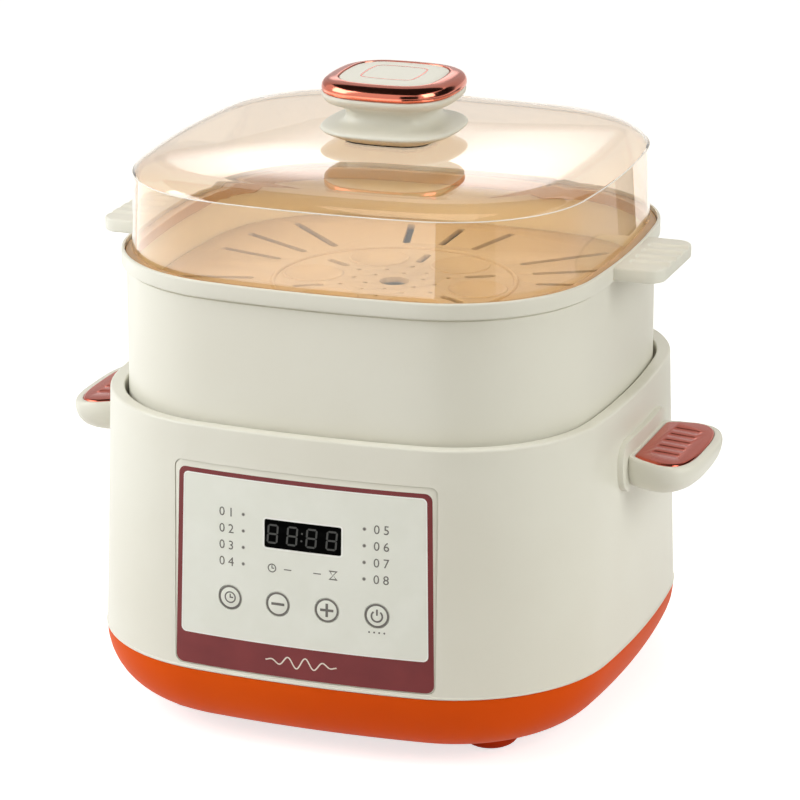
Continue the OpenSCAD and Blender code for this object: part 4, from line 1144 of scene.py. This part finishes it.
make_housing()
make_skirt()
make_feet()
make_pan()
make_panel()
make_keys()
make_handles()
make_stew_pot()
make_pot_lid()
make_tier()
make_tray()
make_lid()
make_knob()

# The inner parts keep their own shapes
for finish, nodes in (
        (STEEL, ("skirt_screws", "handle_screws", "knob_screw", "heating_element", "temperature_sensor",
                 "sensor_bracket")),
        (ALUMINIUM, ("heater_plate",)),
        (BRASS, ("inlet_pins",)),
        (RUBBER, ("pan_gasket", "knob_seal")),
        (WHITE, ("thermal_fuse",)),
        (BOARD, ("power_board", "control_board")),
        (DARK, ("power_inlet", "display_module", "key_switches")),
        (LIGHT_GUIDE, ("indicator_guides",))):
    for node in nodes:
        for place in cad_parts[node].material_slots:
            place.material = finish


# The studio

def stand(azimuth, height, distance):
    """A place round the object, at an azimuth from the front, in metres."""
    a = math.radians(azimuth)
    return Vector((math.sin(a) * distance, -math.cos(a) * distance, height))


def lamp(name, size, power, tone, place, aim=(0, 0, 0.16)):
    """A soft box that faces a point of the object."""
    bpy.ops.object.select_all(action="DESELECT")
    bpy.ops.object.light_add(type="AREA", location=place)
    light = bpy.context.object
    light.name = name
    light.data.shape = "RECTANGLE"
    light.data.size, light.data.size_y = size
    light.data.energy = power
    light.data.color = tone
    light.rotation_euler = (Vector(aim) - place).to_track_quat("-Z", "Y").to_euler()
    return light


def board(name, tone, strength):
    """A matt board, lit to a level."""
    f = Finish(name)
    return f.set(Base_Color=grey(tone), Roughness=0.8 + 0.1 * f.noise(200.0),
                 Emission_Color=grey(1.0), Emission_Strength=strength)


def strip_light(name, strength):
    """A lit strip that fades out towards its edges."""
    f = Finish(name)
    across, up = f.axis("X"), f.axis("Y")
    amount = up.ramp(-0.5, -0.07) * (1.0 - up.ramp(0.2, 0.5))
    amount = amount * across.ramp(-0.5, -0.12) * (1.0 - across.ramp(0.12, 0.5))
    return f.set(Base_Color=grey(0.0), Roughness=0.8 + 0.1 * f.noise(200.0), Specular_IOR_Level=0.0,
                 Emission_Color=f.mix(amount, grey(0.2), grey(1.0)), Emission_Strength=strength)


def hung(sheet, finish, *rays):
    """Paints a sheet of the studio and hides it from the camera, through glass and from more rays."""
    sheet.data.materials.append(finish)
    for ray in ("camera", "transmission") + rays:
        setattr(sheet, "visible_" + ray, False)


def card(name, size, place, aim, finish, *rays):
    """A flat card that faces a point, out of the camera's sight."""
    bpy.ops.object.select_all(action="DESELECT")
    bpy.ops.mesh.primitive_plane_add(size=1.0, location=place)
    sheet = bpy.context.object
    sheet.name = name
    sheet.scale = (*size, 1.0)
    sheet.rotation_euler = (Vector(aim) - place).to_track_quat("Z", "Y").to_euler()
    hung(sheet, finish, *rays)


def floor_sheet(name, first, last, near, far, finish):
    """A flat sector on the floor between two azimuths and two distances, seen only in gloss."""
    def line(r, turns):
        return [(r / MM * math.sin(a), -r / MM * math.cos(a)) for a in turns]
    turns = [math.radians(first + (last - first) * i / 24) for i in range(25)]
    sheet = flat(name, line(far, turns) + line(near, turns[::-1]), "z", 2.0)
    hung(sheet, finish, "diffuse", "shadow")


def make_studio():
    black = 0.012
    dark = board("dark_board", black, 0.0)
    floor_sheet("board_left", -118.0, 9.0, 0.7, 1.6, board("white_board", 0.9, 1.75))
    floor_sheet("runner_front", 9.0, 52.5, 0.5, 1.6, dark)
    floor_sheet("board_right", 52.5, 154.5, 0.5, 1.6, board("grey_board", black, 0.45))
    floor_sheet("runner_right", 154.5, 162.0, 0.5, 1.6, dark)
    lamp("soft_box_left", (0.8, 0.7), 7.5, (0.94, 0.98, 1.0), stand(-58.0, 0.7, 1.0))
    lamp("soft_box_right", (0.6, 0.7), 5.6, (0.97, 1.0, 0.98), stand(76.0, 0.7, 1.1))
    top = lamp("soft_box_top", (1.2, 1.2), 8.8, (1.0, 1.0, 1.0), stand(10.0, 1.9, 0.3), (0, 0, 0.2))
    top.visible_glossy = False
    card("front_card", (2.1, 1.5), stand(27.0, 0.6, 2.6), (0, 0, 0.3), dark)
    rear = board("rear_board", black, 0.6)
    strip = strip_light("lit_strip", 2.4)
    for name, size, place, aim, finish in (
            ("side_card", (3.6, 1.6), stand(112.0, 0.8, 2.2), (0, 0, 0.3), dark),
            ("rear_card", (4.4, 1.6), stand(200.0, 1.15, 1.9), (0, 0, 1.15), rear),
            ("rear_strip", (0.84, 0.36), stand(200.0, 0.88, 1.85), (0, 0, 0.88), strip),
            ("ceiling_card", (3.8, 3.8), stand(0.0, 1.9, 0.0), (0, 0, 0), dark)):
        card(name, size, place, aim, finish, "diffuse", "shadow")

    f = Finish("studio_floor")
    paint = f.set(Base_Color=grey(0.76), Roughness=0.7 + 0.1 * f.noise(300.0), Specular_IOR_Level=0.0,
                  Emission_Color=f.mix(f.seen(), grey(0.0), grey(1.0)), Emission_Strength=0.72)
    bpy.ops.object.select_all(action="DESELECT")
    bpy.ops.mesh.primitive_plane_add(size=24.0, location=(0, 0, -0.0004))
    floor = bpy.context.object
    floor.name = "studio_floor"
    floor.data.materials.append(paint)

    world = bpy.data.worlds.new("studio_light")
    bpy.context.scene.world = world
    world.use_nodes = True
    sky = Nodes(world.node_tree)
    tone = sky.mix(sky.seen(), (0.35, 0.322, 0.262, 1), grey(1.0))
    sky.feed(sky.tree.nodes["Background"].inputs["Color"], tone)


def make_camera():
    azimuth, rise, away = math.radians(19.79), math.radians(17.77), 2.0723
    aim_up, aim_right = 149.27, 2.87
    back = Vector((math.sin(azimuth) * math.cos(rise), -math.cos(azimuth) * math.cos(rise), math.sin(rise)))
    right = Vector((math.cos(azimuth), math.sin(azimuth), 0.0))
    target = (Vector((0.0, 0.0, aim_up)) + right * aim_right) * MM
    bpy.ops.object.select_all(action="DESELECT")
    bpy.ops.object.camera_add(location=target + back * away)
    camera = bpy.context.object
    camera.name = "photo_camera"
    camera.rotation_euler = (-back).to_track_quat("-Z", "Y").to_euler()
    camera.data.sensor_width = 36.0
    camera.data.lens = 178.67
    camera.data.clip_end = 60.0
    bpy.context.scene.camera = camera


make_studio()
make_camera()
bpy.context.scene.view_settings.view_transform = "Standard"
